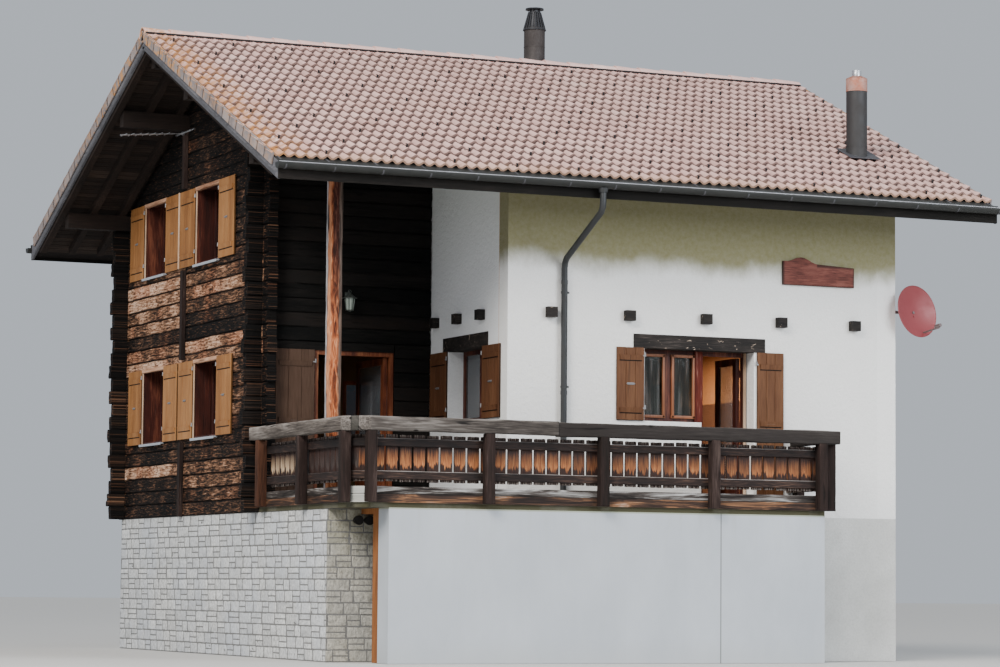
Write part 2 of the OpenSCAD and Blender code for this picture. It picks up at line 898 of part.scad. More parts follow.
// Frame of three members round a doorway of width w between them
module loggia_door_frame() {
  color("peru") {
    translate(loggia_hinge) hinges(leaf_h);
    difference() {
      box([x_loggia_door, y_log + log_frame_in, z_floor],
        [x_loggia_door + loggia_door_w, y_log + log_frame_in + frame_t, z_head]);
      box([x_loggia_door + frame_w, y_log, z_floor - 1],
        [x_loggia_door + loggia_door_w - frame_w, y_log + log_t, z_head - frame_w]);
    }
  }
}

module front_door_frame() {
  color("firebrick") {
    translate(front_hinge) hinges(leaf_h);
    difference() {
      along(y_f + front_frame_in, y_f + front_frame_in + frame_t) front_unit_outline();
      for (x = front_lights)
        box([x_front_win + x, y_f, z_low_sill + frame_w],
          [x_front_win + x + front_light_w, y_f + masonry_t, z_head - frame_w]);
      box([x_front_door, y_f, z_floor - 1], [x_front_door + front_door_w, y_f + masonry_t, z_head - frame_w]);
    }
  }
}

leaf_bar = 95;
leaf_kick = 220;
barrel_r = leaf_gap + 0.5;
barrel_h = 100;
plate_w = 35;
plate_t = 4;

// Feet of the hinge barrels on a leaf of height h
function barrels_z(h) = [for (share = [0.1, 0.48, 0.86]) share*h];

// Barrels round the hinge line at the origin, each with a plate on the jamb
module hinges(h) {
  for (z = barrels_z(h)) {
    translate([0, 0, z]) cylinder(r = barrel_r, h = barrel_h);
    box([0, 0, z], [leaf_gap + plate_w, plate_t, z + barrel_h]);
  }
}

// A glazed leaf of width w and height h that hangs on the line x = 0, y = 0, swung open along +y
module leaf(w, h) {
  difference() {
    box([-leaf_t, 0, 0], [0, w, h]);
    box([-leaf_t - 1, leaf_bar, leaf_kick], [1, w - leaf_bar, h - leaf_bar]);
    for (z = barrels_z(h)) translate([0, 0, z - seat]) cylinder(r = barrel_r + seat, h = barrel_h + 2*seat);
  }
}

module leaf_pane(w, h) {
  box([-leaf_t/2 - pane_t/2, leaf_bar, leaf_kick], [-leaf_t/2 + pane_t/2, w - leaf_bar, h - leaf_bar]);
}

leaf_z = z_floor + leaf_gap;
leaf_h = door_h - frame_w - 2*leaf_gap;
loggia_hinge = [x_loggia_door + loggia_door_w - frame_w - leaf_gap, y_log + log_frame_in + frame_t, leaf_z];
loggia_leaf_w = loggia_door_w - 2*frame_w - 2*leaf_gap;
front_hinge = [x_front_door + front_door_w - leaf_gap, y_f + front_frame_in + frame_t, leaf_z];
front_leaf_w = front_door_w - 2*leaf_gap;

module loggia_door() {
  color("peru") translate(loggia_hinge) leaf(loggia_leaf_w, leaf_h);
}

module loggia_door_glass() {
  color("lightblue") translate(loggia_hinge) leaf_pane(loggia_leaf_w, leaf_h);
}

module front_door() {
  color("firebrick") translate(front_hinge) leaf(front_leaf_w, leaf_h);
}

module front_door_glass() {
  color("lightblue") translate(front_hinge) leaf_pane(front_leaf_w, leaf_h);
}

// Roof

purlin_lines = [-wall_purlin_out, -mid_purlin_at, 0, mid_purlin_at, wall_purlin_out];

module purlin_solids() {
  intersection() {
    for (y = purlin_lines) {
      z = roof_z(y_ridge + y, purlin_at) - purlin_h;
      box([x_verge + purlin_in, y_ridge + y - purlin_w/2, z],
        [x_rear - purlin_in, y_ridge + y + purlin_w/2, z + 2*purlin_h]);
    }
    under_roof(purlin_at + seat);
  }
}

module purlins() {
  color("saddlebrown") purlin_solids();
}

// Middles of the rafters that share a bay from x0 to x1 evenly
function bay_rafters(x0, x1) =
  let (first = x0 + rafter_w/2 + 10, span = x1 - x0 - rafter_w - 20, count = round(span/rafter_step))
  [for (i = [0:count]) first + i*span/count];

// Room that the upper shutters take in front of the log gable
shutter_room = 80;

// Pairs of rafters over both overhangs and over the rooms, clear of the two gable walls
module rafters() {
  color("peru")
  for (x = concat(bay_rafters(x_verge + trim_t, x_l - shutter_room), bay_rafters(x_l + log_t, x_r - masonry_t),
      bay_rafters(x_r, x_rear - trim_t)))
    across(x - rafter_w/2, x + rafter_w/2) roof_bands(rafter_at + seat, purlin_at, rafter_run);
}

module roof_boards() {
  color("tan")
  across(x_verge + trim_t, x_rear - trim_t) roof_bands(board_at + seat, rafter_at, board_run);
}

// The rolls of the tiles as one wavy sheet down a slope, turned down over the verge boards
module tile_sheet() {
  length = x_rear - x_verge + 2*tile_over;
  facets = 6;
  n = round(length/roll_w)*facets;
  wave = [for (i = [0:n]) [i*length/n, roll_d/2*(cos(360*i/facets) - 1)]];
  over = tile_over - seat;
  translate([x_verge - tile_over, slope_len, 0]) rotate([90, 0, 0]) linear_extrude(slope_len - 30)
    polygon(concat(wave, [[length, -verge_skirt], [length - over, -verge_skirt], [length - over, -board_at],
      [over, -board_at], [over, -verge_skirt], [0, -verge_skirt]]));
}

// All that lies to one side of the ridge, -1 for the front
module ridge_side(side) {
  reach = roof_run + 800;
  y0 = y_ridge + side*ridge_joint/2;
  box([x_verge - 500, min(y0, y0 + side*reach), 0], [x_rear + 500, max(y0, y0 + side*reach), z_ridge + 500]);
}

module front_tiles() {
  color("rosybrown") intersection() {
    on_front_slope() tile_sheet();
    ridge_side(-1);
  }
}

module back_tiles() {
  color("rosybrown") intersection() {
    on_back_slope() tile_sheet();
    ridge_side(1);
  }
}

// Round capping over the ridge that rests on both slopes
module ridge_tiles() {
  r = 140;
  z = z_ridge - 100;
  color("rosybrown") across(x_verge - 30, x_rear + 30) difference() {
    translate([y_ridge, z]) circle(r = r, $fn = 48);
    translate([y_ridge, z]) circle(r = r - 18, $fn = 48);
    polygon([[y_ridge - 400, roof_z(y_ridge - 400, 0)], [y_ridge, z_ridge],
      [y_ridge + 400, roof_z(y_ridge + 400, 0)], [y_ridge + 400, z - 400], [y_ridge - 400, z - 400]]);
  }
}

module verge_boards() {
  color("gray")
  for (x = [x_verge, x_rear - trim_t])
    across(x, x + trim_t) roof_bands(board_at + seat, board_at + verge_h, board_run);
}

module eave_boards() {
  z1 = roof_z(y_ridge + board_run + trim_t, board_at + seat);
  color("gray")
  for (side = [-1, 1]) translate([0, y_ridge + side*(board_run + trim_t/2) - trim_t/2, 0])
    box([x_verge, 0, z1 - verge_h], [x_rear, trim_t, z1]);
}

gutter_wall = 5;
neck_in = 190;
neck_out = 730;
clips_down = 1300;

function gutter_y(side) = y_ridge + side*(board_run + trim_t + gutter_r);
z_gutter = roof_z(y_ridge + board_run + trim_t, board_at) - 15;

module gutters() {
  color("dimgray")
  for (side = [-1, 1]) difference() {
    across(x_verge - 50, x_rear + 50) translate([gutter_y(side), z_gutter]) intersection() {
      circle(r = gutter_r);
      translate([-gutter_r, -gutter_r]) square([2*gutter_r, gutter_r]);
    }
    across(x_verge - 50 + gutter_wall, x_rear + 50 - gutter_wall)
      translate([gutter_y(side), z_gutter]) circle(r = gutter_r - gutter_wall);
  }
}

// Outlet under a gutter at y0, swan neck back to y1 under the eave, then straight down to z1
module downpipe(y0, y1, z1) {
  z0 = z_gutter - gutter_r;
  drop = z0 - neck_in;
  fall = norm([y1 - y0, neck_out - neck_in]);
  difference() {
    translate([0, y0, drop]) cylinder(r = pipe_r, h = neck_in + gutter_r/2);
    translate([-gutter_r, y0, z_gutter]) rotate([0, 90, 0]) cylinder(r = gutter_r + seat, h = 2*gutter_r);
  }
  translate([0, y0, drop]) sphere(r = pipe_r + 4);
  translate([0, y0, drop]) rotate([atan2(y0 - y1, neck_in - neck_out), 0, 0]) cylinder(r = pipe_r, h = fall);
  translate([0, y1, z0 - neck_out]) sphere(r = pipe_r + 4);
  translate([0, y1, z1]) cylinder(r = pipe_r, h = z0 - neck_out - z1);
}

module downpipes() {
  off = pipe_r + 25;
  x = x_l + downpipe_at;
  x_back = x_r - 500;
  color("dimgray") {
    translate([x, 0, 0]) downpipe(gutter_y(-1), y_f - off, z_terrace);
    translate([x_back, 0, 0]) downpipe(gutter_y(1), y_b + off, 0);
    for (z = [z_gutter - clips_down, z_gutter - 2*clips_down]) {
      box([x - 15, y_f - off, z], [x + 15, y_f, z + 30]);
      box([x_back - 15, y_b, z], [x_back + 15, y_b + off, z + 30]);
    }
  }
}

// Chimneys

// The space over the crests of the front or back tiles
module over_tiles() {
  reach = 5000;
  across(x_verge, x_rear) polygon([[y_ridge - reach, roof_z(y_ridge - reach, 0)], [y_ridge, z_ridge],
    [y_ridge + reach, roof_z(y_ridge + reach, 0)], [y_ridge + reach, z_ridge + reach],
    [y_ridge - reach, z_ridge + reach]]);
}

stub_r = 68;

// A cased flue with a shoulder, a short inner pipe and a flashing plate on the tiles
module round_flue() {
  x = x_l + flue_at;
  run = flue_down;
  z_crest = z_ridge - run*tan(pitch);
  y = y_ridge - run;
  color("dimgray") {
    intersection() {
      translate([x, y, z_crest - 2*flue_r]) cylinder(r = flue_r, h = flue_h + 2*flue_r);
      over_tiles();
    }
    translate([x, y, z_crest + flue_h]) cylinder(r1 = flue_r, r2 = stub_r + 15, h = 45);
    translate([x, y, z_crest + flue_h + 45]) cylinder(r = stub_r, h = 75);
    translate([x, 0, 0]) on_front_slope() translate([0, run/cos(pitch), 0])
      box([-flue_r - 60, -flue_r - 90, 0], [flue_r + 110, flue_r + 90, 8]);
  }
}

// A steel stack behind the ridge, under a louvred cone and a flat rain cap
module ridge_chimney() {
  x = x_l + chimney_at;
  y = y_ridge + chimney_back;
  z_body = z_ridge + chimney_h;
  cone_h = 300;
  color("dimgray") {
    intersection() {
      translate([x, y, z_ridge - 400]) cylinder(r = chimney_r, h = z_body - z_ridge + 400);
      over_tiles();
    }
    translate([x, y, z_body]) rotate_extrude() polygon([[0, 0], [chimney_r + 35, 0], [chimney_r + 30, 30],
      [chimney_r - 20, cone_h], [chimney_r - 60, cone_h + 15], [chimney_r - 60, cone_h + 90],
      [chimney_r - 10, cone_h + 100], [chimney_r - 10, cone_h + 115], [0, cone_h + 130]]);
  }
}

// Fittings on the walls

lantern_at = 1255;
lantern_up = 590;

module wall_lantern() {
  x = x_l + lantern_at;
  z = z_head + lantern_up;
  color("black") translate([x, y_log, z]) {
    box([-45, -20, 60], [45, 0, 200]);
    box([-12, -130, 190], [12, -10, 215]);
    translate([0, -130, -40]) cylinder(r1 = 45, r2 = 75, h = 190);
    translate([0, -130, 150]) cylinder(r1 = 90, r2 = 15, h = 90);
  }
}

sign_w = 1140;
sign_left_h = 335;
sign_right_h = 280;
sign_hump = 75;
sign_t = 35;

// Top edge of the sign board at a share of its width, with one soft hump
function sign_top(t) = sign_left_h + (sign_right_h - sign_left_h)*t
  + (abs(t - 0.26) < 0.22 ? sign_hump*(1 + cos(180*(t - 0.26)/0.22))/2 : 0);

// Bare wooden board with a hump in its top edge
module sign_board() {
  color("brown") translate([x_l + sign_at - sign_w/2, 0, base_h + sign_up])
    along(y_f - sign_t, y_f)
      polygon(concat([[sign_w, 0], [0, 0]], [for (i = [0:20]) [sign_w*i/20, sign_top(i/20)]]));
}

dish_out = 330;
dish_up = 2950;

// Dish on an arm from the right-hand corner, turned by yaw and tipped up
module satellite_dish() {
  yaw = 14;
  centre = [x_r + dish_out, y_f - 60, base_h + dish_up];
  hold = centre + 160*[-sin(yaw), cos(yaw), 0];
  color("salmon") {
    box([x_r, hold[1] - 20, hold[2] - 20], [hold[0], hold[1] + 20, hold[2] + 20]);
    translate([hold[0], hold[1], hold[2] - 260]) cylinder(r = 26, h = 300);
    translate(centre) rotate([0, 0, yaw]) {
      rotate([90, 0, 0]) translate([0, 0, -160]) cylinder(r = 20, h = 170);
      rotate([80, 0, 0]) difference() {
        cylinder(r1 = 110, r2 = 380, h = 90);
        translate([0, 0, 14]) cylinder(r1 = 100, r2 = 372, h = 90);
      }
    }
  }
}

// Bar across the gable clamp and a boom with short cross rods that points out from it
module antenna() {
  mast = [x_l - clamp_t, y_log + clamp_at, clamp_top - antenna_down];
  off = 25;
  bar = 850;
  boom = 960;
  rod = 300;
  dip = 5;
  color("silver") translate(mast) {
    box([-off, -25, -25], [0, 25, 25]);
    translate([-off, off - 0.7*bar, 0]) rotate([-90, 0, 0]) cylinder(r = 12, h = bar);
    translate([-off, 0, 0]) rotate([0, -90 - dip, 0]) {
      cylinder(r = 10, h = boom);
      for (i = [0:6]) translate([0, -rod/2, boom*(0.25 + i*0.115)]) rotate([-90, 0, 0])
        cylinder(r = 5, h = rod);
    }
  }
}

cellar_floor();
stone_base_wall();
plain_base_wall();
terrace_skirt_wall();
cellar_frame();
terrace_vents();
living_floor();
terrace_slab();
terrace_fascia();
terrace_posts();
terrace_hand_rails();
terrace_infill();
loggia_post();
gable_log_wall();
loggia_log_wall_left();
loggia_log_wall_right();
loggia_log_wall_over();
back_log_wall();
gable_clamp();
loggia_masonry_wall();
front_wall_left();
front_wall_right();
front_wall_over();
right_masonry_wall();
back_masonry_wall();
upper_floor();
floor_beams();
lintels();
window_frames();
window_glass();
window_sills();
shutters();
loggia_door_frame();
loggia_door();
loggia_door_glass();
front_door_frame();
front_door();
front_door_glass();
purlins();
rafters();
roof_boards();
front_tiles();
back_tiles();
ridge_tiles();
verge_boards();
eave_boards();
gutters();
downpipes();
round_flue();
ridge_chimney();
wall_lantern();
sign_board();
satellite_dish();
antenna();
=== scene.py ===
import bpy
import bmesh
import math
import random
from contextlib import contextmanager
from mathutils import Vector, Matrix, noise


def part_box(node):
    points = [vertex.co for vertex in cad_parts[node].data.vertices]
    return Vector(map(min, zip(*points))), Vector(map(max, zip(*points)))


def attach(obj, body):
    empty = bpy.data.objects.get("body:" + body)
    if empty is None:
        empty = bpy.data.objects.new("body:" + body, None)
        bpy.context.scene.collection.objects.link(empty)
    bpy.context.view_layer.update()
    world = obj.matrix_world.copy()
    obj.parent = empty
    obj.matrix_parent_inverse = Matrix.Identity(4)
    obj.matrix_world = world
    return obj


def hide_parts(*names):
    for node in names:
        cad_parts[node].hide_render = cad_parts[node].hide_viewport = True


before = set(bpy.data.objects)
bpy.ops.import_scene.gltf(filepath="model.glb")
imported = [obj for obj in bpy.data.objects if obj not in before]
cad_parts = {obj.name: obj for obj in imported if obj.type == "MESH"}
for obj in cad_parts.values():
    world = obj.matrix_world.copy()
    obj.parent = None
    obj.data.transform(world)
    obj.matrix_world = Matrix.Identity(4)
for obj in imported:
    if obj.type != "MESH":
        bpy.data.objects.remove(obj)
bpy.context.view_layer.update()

scene = bpy.context.scene
dice = random.Random(7)
noise.seed_set(7)  # noise_vector, which roughen uses, is otherwise new at each start
mats = {}
print("stage: frame loaded, %d nodes" % len(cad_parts))

# main lines of the house in metres, as the source has them
house = {
    "left": -4.3, "right": 4.3, "front": -4.525, "back": 4.525, "logFront": -1.875, "logRight": -1.74,
    "logHigh": 0.2, "baseTop": 2.0, "floor": 2.28, "terraceFront": -5.55, "cut": 0.2,
}
roof = {
    "ridgeY": 0.075, "ridgeZ": 8.96, "pitch": math.radians(23.7), "run": 5.81, "left": -5.465, "right": 5.25,
    "tileOver": 0.024, "boardAt": 0.062, "rafterAt": 0.222, "clear": 0.03, "setBack": 0.22, "courses": 20,
}
slopeLength = roof["run"] / math.cos(roof["pitch"])
boardSlope = (roof["run"] - 0.06) / math.cos(roof["pitch"])
roofLong = roof["right"] - roof["left"]
roofMiddle = 0.5 * (roof["left"] + roof["right"])
gauge = (slopeLength - roof["clear"] - roof["setBack"]) / roof["courses"]
tileLeft = roof["left"] - roof["tileOver"]
tileLong = roofLong + 2.0 * roof["tileOver"]


# camera where the photograph was taken, below the level of the terrace
def buildCamera():
    look = {"place": (-19.174, -43.643, 0.972), "lens": 114.93, "yaw": 23.886, "up": 4.569, "roll": 0.484}
    data = bpy.data.cameras.new("photoCamera")
    data.lens = look["lens"]
    data.sensor_width = 36.0
    data.sensor_fit = "HORIZONTAL"
    data.clip_end = 400.0
    camera = bpy.data.objects.new("photoCamera", data)
    scene.collection.objects.link(camera)
    yaw, up, roll = (math.radians(look[k]) for k in ("yaw", "up", "roll"))
    ahead = Vector((math.sin(yaw) * math.cos(up), math.cos(yaw) * math.cos(up), math.sin(up)))
    side = Vector((math.cos(yaw), -math.sin(yaw), 0.0))
    top = side.cross(ahead)
    rolledSide = side * math.cos(roll) + top * math.sin(roll)
    rolledTop = top * math.cos(roll) - side * math.sin(roll)
    turn = Matrix((rolledSide, rolledTop, -ahead)).transposed().to_4x4()
    camera.matrix_world = Matrix.Translation(look["place"]) @ turn
    scene.camera = camera


def addLamp(name, kind, power, tint, place=(0.0, 0.0, 0.0), aim=None, **settings):
    lamp = bpy.data.lights.new(name, kind)
    lamp.energy = power
    lamp.color = tint
    for key, value in settings.items():
        setattr(lamp, key, value)
    rig = bpy.data.objects.new(name, lamp)
    rig.location = place
    if aim:
        rig.rotation_euler = (Vector(aim) - Vector(place)).to_track_quat("-Z", "Y").to_euler()
    scene.collection.objects.link(rig)


def buildStage():
    stage = {"sky": (0.74, 0.80, 0.88), "skyPower": 0.70, "floor": (0.60, 0.59, 0.57), "wide": 400.0,
             "low": -0.004}
    world = bpy.data.worlds.new("studioSky")
    world.use_nodes = True
    background = world.node_tree.nodes["Background"]
    background.inputs["Color"].default_value = (*stage["sky"], 1.0)
    background.inputs["Strength"].default_value = stage["skyPower"]
    scene.world = world
    addLamp("keyLight", "AREA", 4700.0, (1.0, 0.95, 0.88), (-19.0, -17.0, 17.0), (-1.0, -2.0, 3.5), size=9.0)
    addLamp("fillLight", "AREA", 4800.0, (0.92, 0.96, 1.0), (12.0, -26.0, 12.0), (1.0, -3.0, 4.0), size=12.0)
    # warm lamp in the living room, as seen through the terrace door
    addLamp("roomLight", "AREA", 170.0, (1.0, 0.78, 0.55), (2.5, -0.6, 4.60), size=0.9)
    addLamp("softSun", "SUN", 1.55, (1.0, 0.96, 0.9), aim=(0.62, 0.62, -0.75), angle=math.radians(24.0))
    floor = fresh("plane", size=stage["wide"], location=(0.0, 0.0, stage["low"]))
    floor.name = "studioFloor"
    paint = bpy.data.materials.new("paleFloor")
    paint.use_nodes = True
    shader = paint.node_tree.nodes["Principled BSDF"]
    shader.inputs["Base Color"].default_value = (*stage["floor"], 1.0)
    shader.inputs["Roughness"].default_value = 0.9
    floor.data.materials.append(paint)


# modelling helpers
def solo(*objects):
    bpy.ops.object.select_all(action="DESELECT")
    for one in objects:
        one.select_set(True)
    bpy.context.view_layer.objects.active = objects[0]


@contextmanager
def editing(obj):
    solo(obj)
    bpy.ops.object.mode_set(mode="EDIT")
    bpy.ops.mesh.select_all(action="SELECT")
    yield
    bpy.ops.object.mode_set(mode="OBJECT")


def applyPlace():
    bpy.ops.object.transform_apply(location=True, rotation=True, scale=True)


def fresh(shape, scale=(1.0, 1.0, 1.0), **settings):
    # a new primitive with its size and place put into its mesh
    bpy.ops.object.select_all(action="DESELECT")
    getattr(bpy.ops.mesh, "primitive_%s_add" % shape)(**settings)
    obj = bpy.context.object
    obj.scale = scale
    applyPlace()
    return obj


def block(size, place=(0.0, 0.0, 0.0), bevel=0.0, steps=1):
    # a squared piece by its size, its middle at place, with its edges taken off
    obj = fresh("cube", size, size=1.0, location=place)
    if bevel:
        with editing(obj):
            bpy.ops.mesh.bevel(offset=bevel, segments=steps, affect="EDGES")
    return obj


def tube(radius, length, place, axis="z", sides=20, bevel=0.0, topRadius=None):
    turn = {"z": (0, 0, 0), "x": (0, math.pi / 2, 0), "y": (math.pi / 2, 0, 0)}[axis]
    obj = fresh("cone", vertices=sides, radius1=radius, depth=length, location=place, rotation=turn,
                radius2=radius if topRadius is None else topRadius)
    if bevel:
        use(obj, "BEVEL", width=bevel, segments=2, angle_limit=math.radians(50))
    return obj


def use(obj, kind, **settings):
    # adds a modifier, sets it and applies it
    solo(obj)
    mod = obj.modifiers.new(kind.lower(), kind)
    for key, value in settings.items():
        setattr(mod, key, value)
    bpy.ops.object.modifier_apply(modifier=mod.name)
    return obj


def pickFaces(obj, test):
    # in edit mode, selects the faces whose middle and normal pass the test
    bpy.ops.mesh.select_all(action="DESELECT")
    work = bmesh.from_edit_mesh(obj.data)
    for face in work.faces:
        if test(face.calc_center_median(), face.normal):
            face.select_set(True)
    bmesh.update_edit_mesh(obj.data)


def slice(obj, axis, places):
    # cuts a mesh by planes square to one axis, nothing is taken away
    normal = {"x": (1, 0, 0), "y": (0, 1, 0), "z": (0, 0, 1)}[axis]
    with editing(obj):
        for place in places:
            bpy.ops.mesh.select_all(action="SELECT")
            bpy.ops.mesh.bisect(plane_co=tuple(place * n for n in normal), plane_no=normal)
    return obj


def cutOff(obj, height, **side):
    # takes away what lies above or below a level
    with editing(obj):
        bpy.ops.mesh.bisect(plane_co=(0, 0, height), plane_no=(0, 0, 1), **side)


def copyNode(name):
    # own copy of a CAD node's mesh, merged to clean faces
    obj = bpy.data.objects.new("copyOf_" + name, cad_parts[name].data.copy())
    scene.collection.objects.link(obj)
    with editing(obj):
        bpy.ops.mesh.remove_doubles(threshold=0.0002)
        bpy.ops.mesh.dissolve_limited(angle_limit=math.radians(0.5))
    return obj


def mark(obj, name, values, domain="POINT"):
    layer = obj.data.attributes.get(name) or obj.data.attributes.new(name, "FLOAT", domain)
    layer.data.foreach_set("value", values)


def moved(x, y, z):
    return Matrix.Translation((x, y, z))


def turned(angle, axis):
    return Matrix.Rotation(angle, 4, axis)


def around(middle, spread):
    return min(max(dice.gauss(middle, spread), 0.0), 1.0)


def repeat(piece, spots, tones=None):
    # copies a modelled piece to each spot, every copy with its own mesh, and joins them
    copies = []
    for index, spot in enumerate(spots):
        copy = piece
        if index < len(spots) - 1:
            copy = bpy.data.objects.new(piece.name, piece.data.copy())
            scene.collection.objects.link(copy)
        copy.data.transform(spot)
        tone = tones[index] if tones else dice.random()
        mark(copy, "tone", [tone] * len(copy.data.vertices))
        copies.append(copy)
    solo(piece, *copies[:-1])
    if len(copies) > 1:
        bpy.ops.object.join()
    return bpy.context.object


def joined(name, *objects):
    solo(*objects)
    if len(objects) > 1:
        bpy.ops.object.join()
    obj = bpy.context.object
    obj.name = name
    obj.data.name = name
    return obj


def roughen(obj, amount, scale, fine=0.0):
    # uneven surface: moves points a little by smooth noise on their place
    for point in obj.data.vertices:
        at = point.co.copy()
        shift = noise.noise_vector(at * scale) * amount
        if fine:
            shift += noise.noise_vector(at * scale * 5.3) * fine
        point.co = at + shift
    obj.data.update()


def finish(name, parts, finishes, stands="", angle=40):
    # joins the parts, shades them, and gives the piece its materials and its place in the frame
    obj = joined(name, *(parts if isinstance(parts, list) else [parts]))
    applyPlace()
    if angle:
        bpy.ops.object.shade_smooth_by_angle(angle=math.radians(angle))
    obj.data.materials.clear()
    for one in finishes.split():
        obj.data.materials.append(mats[one])
    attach(obj, "house")
    if stands:
        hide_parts(*stands.split())
    return obj


def secondFinish(obj, test):
    # the faces whose middle passes the test take the second material
    for face in obj.data.polygons:
        face.material_index = 1 if test(face.center) else 0


def onSlope(obj):
    # from flat (x along the ridge, y = 0 there and negative down, z out of the roof) to the front slope
    obj.data.transform(moved(0.0, roof["ridgeY"], roof["ridgeZ"]) @ turned(roof["pitch"], "X"))
    return obj


def overRidge(obj):
    # own copy mirrored to the back slope
    twin = bpy.data.objects.new(obj.name + "Twin", obj.data.copy())
    scene.collection.objects.link(twin)
    flip = Matrix.Identity(4)
    flip[1][1] = -1.0
    flip[1][3] = 2.0 * roof["ridgeY"]
    twin.data.transform(flip)
    twin.data.flip_normals()
    return twin


buildCamera()
buildStage()
print("stage: camera, light and floor")


# a node's output that can be reckoned with like a number
class Flow:
    def __init__(self, made, socket):
        self.made = made
        self.socket = socket

    def __add__(self, other):
        return self.made.math("ADD", self, other)

    def __sub__(self, other):
        return self.made.math("SUBTRACT", self, other)

    def __rsub__(self, other):
        return self.made.math("SUBTRACT", other, self)

    def __mul__(self, other):
        return self.made.math("MULTIPLY", self, other)

    def __truediv__(self, other):
        return self.made.math("DIVIDE", self, other)

    def __abs__(self):
        return self.made.math("ABSOLUTE", self)

    def span(self, low, high, to=0.0, up=1.0, soft=False):
        node, out = self.made.add("MapRange", Value=self, To_Min=to, To_Max=up, From_Min=low, From_Max=high)
        if soft:
            node.interpolation_type = "SMOOTHSTEP"
        return out

    def falls(self, low, high):
        return self.span(low, high, 1.0, 0.0)


# one wrapper for node materials; coat lays a colour over the colour so far
class Finish:
    def __init__(self, name, rough=0.8, gloss=0.5, metal=0.0, **fixed):
        self.mat = bpy.data.materials.new(name)
        mats[name] = self.mat
        self.mat.use_nodes = True
        self.tree = self.mat.node_tree
        self.shader = self.tree.nodes["Principled BSDF"]
        fixed.update({"Roughness": rough, "Specular IOR Level": gloss, "Metallic": metal})
        for key, value in fixed.items():
            self.shader.inputs[key].default_value = value
        self.place = Flow(self, self.tree.nodes.new("ShaderNodeTexCoord").outputs["Object"])

    def put(self, socket, value):
        if isinstance(value, Flow):
            self.tree.links.new(value.socket, socket)
        elif isinstance(value, tuple) and socket.type == "RGBA":
            socket.default_value = (*value, 1.0)
        else:
            socket.default_value = value

    def add(self, kind, *listed, out=0, **inputs):
        node = self.tree.nodes.new("ShaderNode" + kind)
        for number, value in enumerate(listed):
            self.put(node.inputs[number], value)
        for key, value in inputs.items():
            self.put(node.inputs[key.replace("_", " ")], value)
        return node, Flow(self, node.outputs[out])

    def at(self, scale=(1.0, 1.0, 1.0), shift=(0.0, 0.0, 0.0)):
        return self.add("Mapping", Vector=self.place, Location=shift, Scale=scale)[1]

    def axes(self, at=None):
        return [Flow(self, socket) for socket in self.add("SeparateXYZ", at or self.place)[0].outputs]

    def join(self, x, y, z):
        return self.add("CombineXYZ", x, y, z)[1]

    def where(self, at, mapping):
        # a texture's place: an output, three values, or the piece's own place, stretched or shifted
        if at:
            return self.join(*at) if isinstance(at, tuple) else at
        return self.at(**mapping)

    def noise(self, size, detail=4.0, rough=0.55, warp=0.0, at=None, **mapping):
        return self.add("TexNoise", Vector=self.where(at, mapping), Scale=size, Detail=detail,
                        Roughness=rough, Distortion=warp)[1]

    def cells(self, size, **mapping):
        return self.add("TexVoronoi", Vector=self.at(**mapping), Scale=size)[1]

    def white(self, at):
        return self.add("TexWhiteNoise", Vector=self.join(*at))[1]

    def math(self, kind, *values):
        node, out = self.add("Math", *values)
        node.operation = kind
        return out

    def most(self, a, b):
        return self.math("MAXIMUM", a, b)

    def least(self, a, b):
        return self.math("MINIMUM", a, b)

    def floor(self, a):
        return self.math("FLOOR", a)

    def fract(self, a):
        return self.math("FRACT", a)

    def ramp(self, value, *stops):
        node, out = self.add("ValToRGB", value)
        band = node.color_ramp
        while len(band.elements) < len(stops):
            band.elements.new(0.5)
        for element, (place, colour) in zip(band.elements, stops):
            element.position = place
            element.color = (*colour, 1.0)
        return out

    def mix(self, share, a, b, kind="MIX"):
        node = self.tree.nodes.new("ShaderNodeMix")
        node.data_type = "RGBA"
        node.blend_type = kind
        for number, value in ((0, share), (6, a), (7, b)):
            self.put(node.inputs[number], value)
        return Flow(self, node.outputs[2])

    def coat(self, share, colour, kind="MIX"):
        self.colour = self.mix(share, self.colour, colour, kind)

    def tone(self, name="tone"):
        node, out = self.add("Attribute", out="Fac")
        node.attribute_name = name
        return out

    def done(self, height, depth, rough=None):
        # the surface takes the colour so far and is raised by height
        bump = None
        if height is not None:
            bump = self.add("Bump", Strength=1.0, Distance=depth, Height=height)[1]
        for key, value in (("Base Color", self.colour), ("Roughness", rough), ("Normal", bump)):
            if value is not None:
                self.put(self.shader.inputs[key], value)


# weathered timber: grain along one axis, patches, cracks and a tone for each board or piece
def timber(name, along, dark, middle, light, patch=0.5, patchSize=2.0, crack=0.4, tone=0.3, board=None,
           rough=0.85, depth=0.004, perPiece=False, gloss=0.2, shaded=False):
    made = Finish(name, rough, gloss)
    stretch, wide = [tuple(share if axis == along else 1.0 for axis in "xyz") for share in (0.07, 0.18)]
    fibre = made.noise(55.0, 5.0, 0.65, 0.3, scale=stretch)
    drift = made.noise(patchSize, 4.0, 0.6, 0.2, scale=wide)
    level = fibre * 0.38 + drift * 0.62
    if perPiece:
        level = level + made.tone().span(0.0, 1.0, -tone, tone)
    if board:
        across = made.axes()["xyz".index(board[0])]
        each = made.white((made.floor(across / board[1]), 3.7, 1.3))
        level = level + each.span(0.0, 1.0, -tone, tone)
    made.colour = made.ramp(level, (patch - 0.17, dark), (patch, middle), (patch + 0.2, light))
    gap = made.noise(26.0, 3.0, 0.5, 0.6, scale=stretch, shift=(3.1, 1.7, 0.4)).span(0.30, 0.38)
    made.coat((1.0 - gap) * crack, tuple(0.25 * v for v in dark))
    # painted shade on the faces that the piece marks as shade
    if shaded:
        made.coat(made.tone("shade"), tuple(0.10 * v for v in middle))
    made.done(fibre + gap * 0.9, depth)


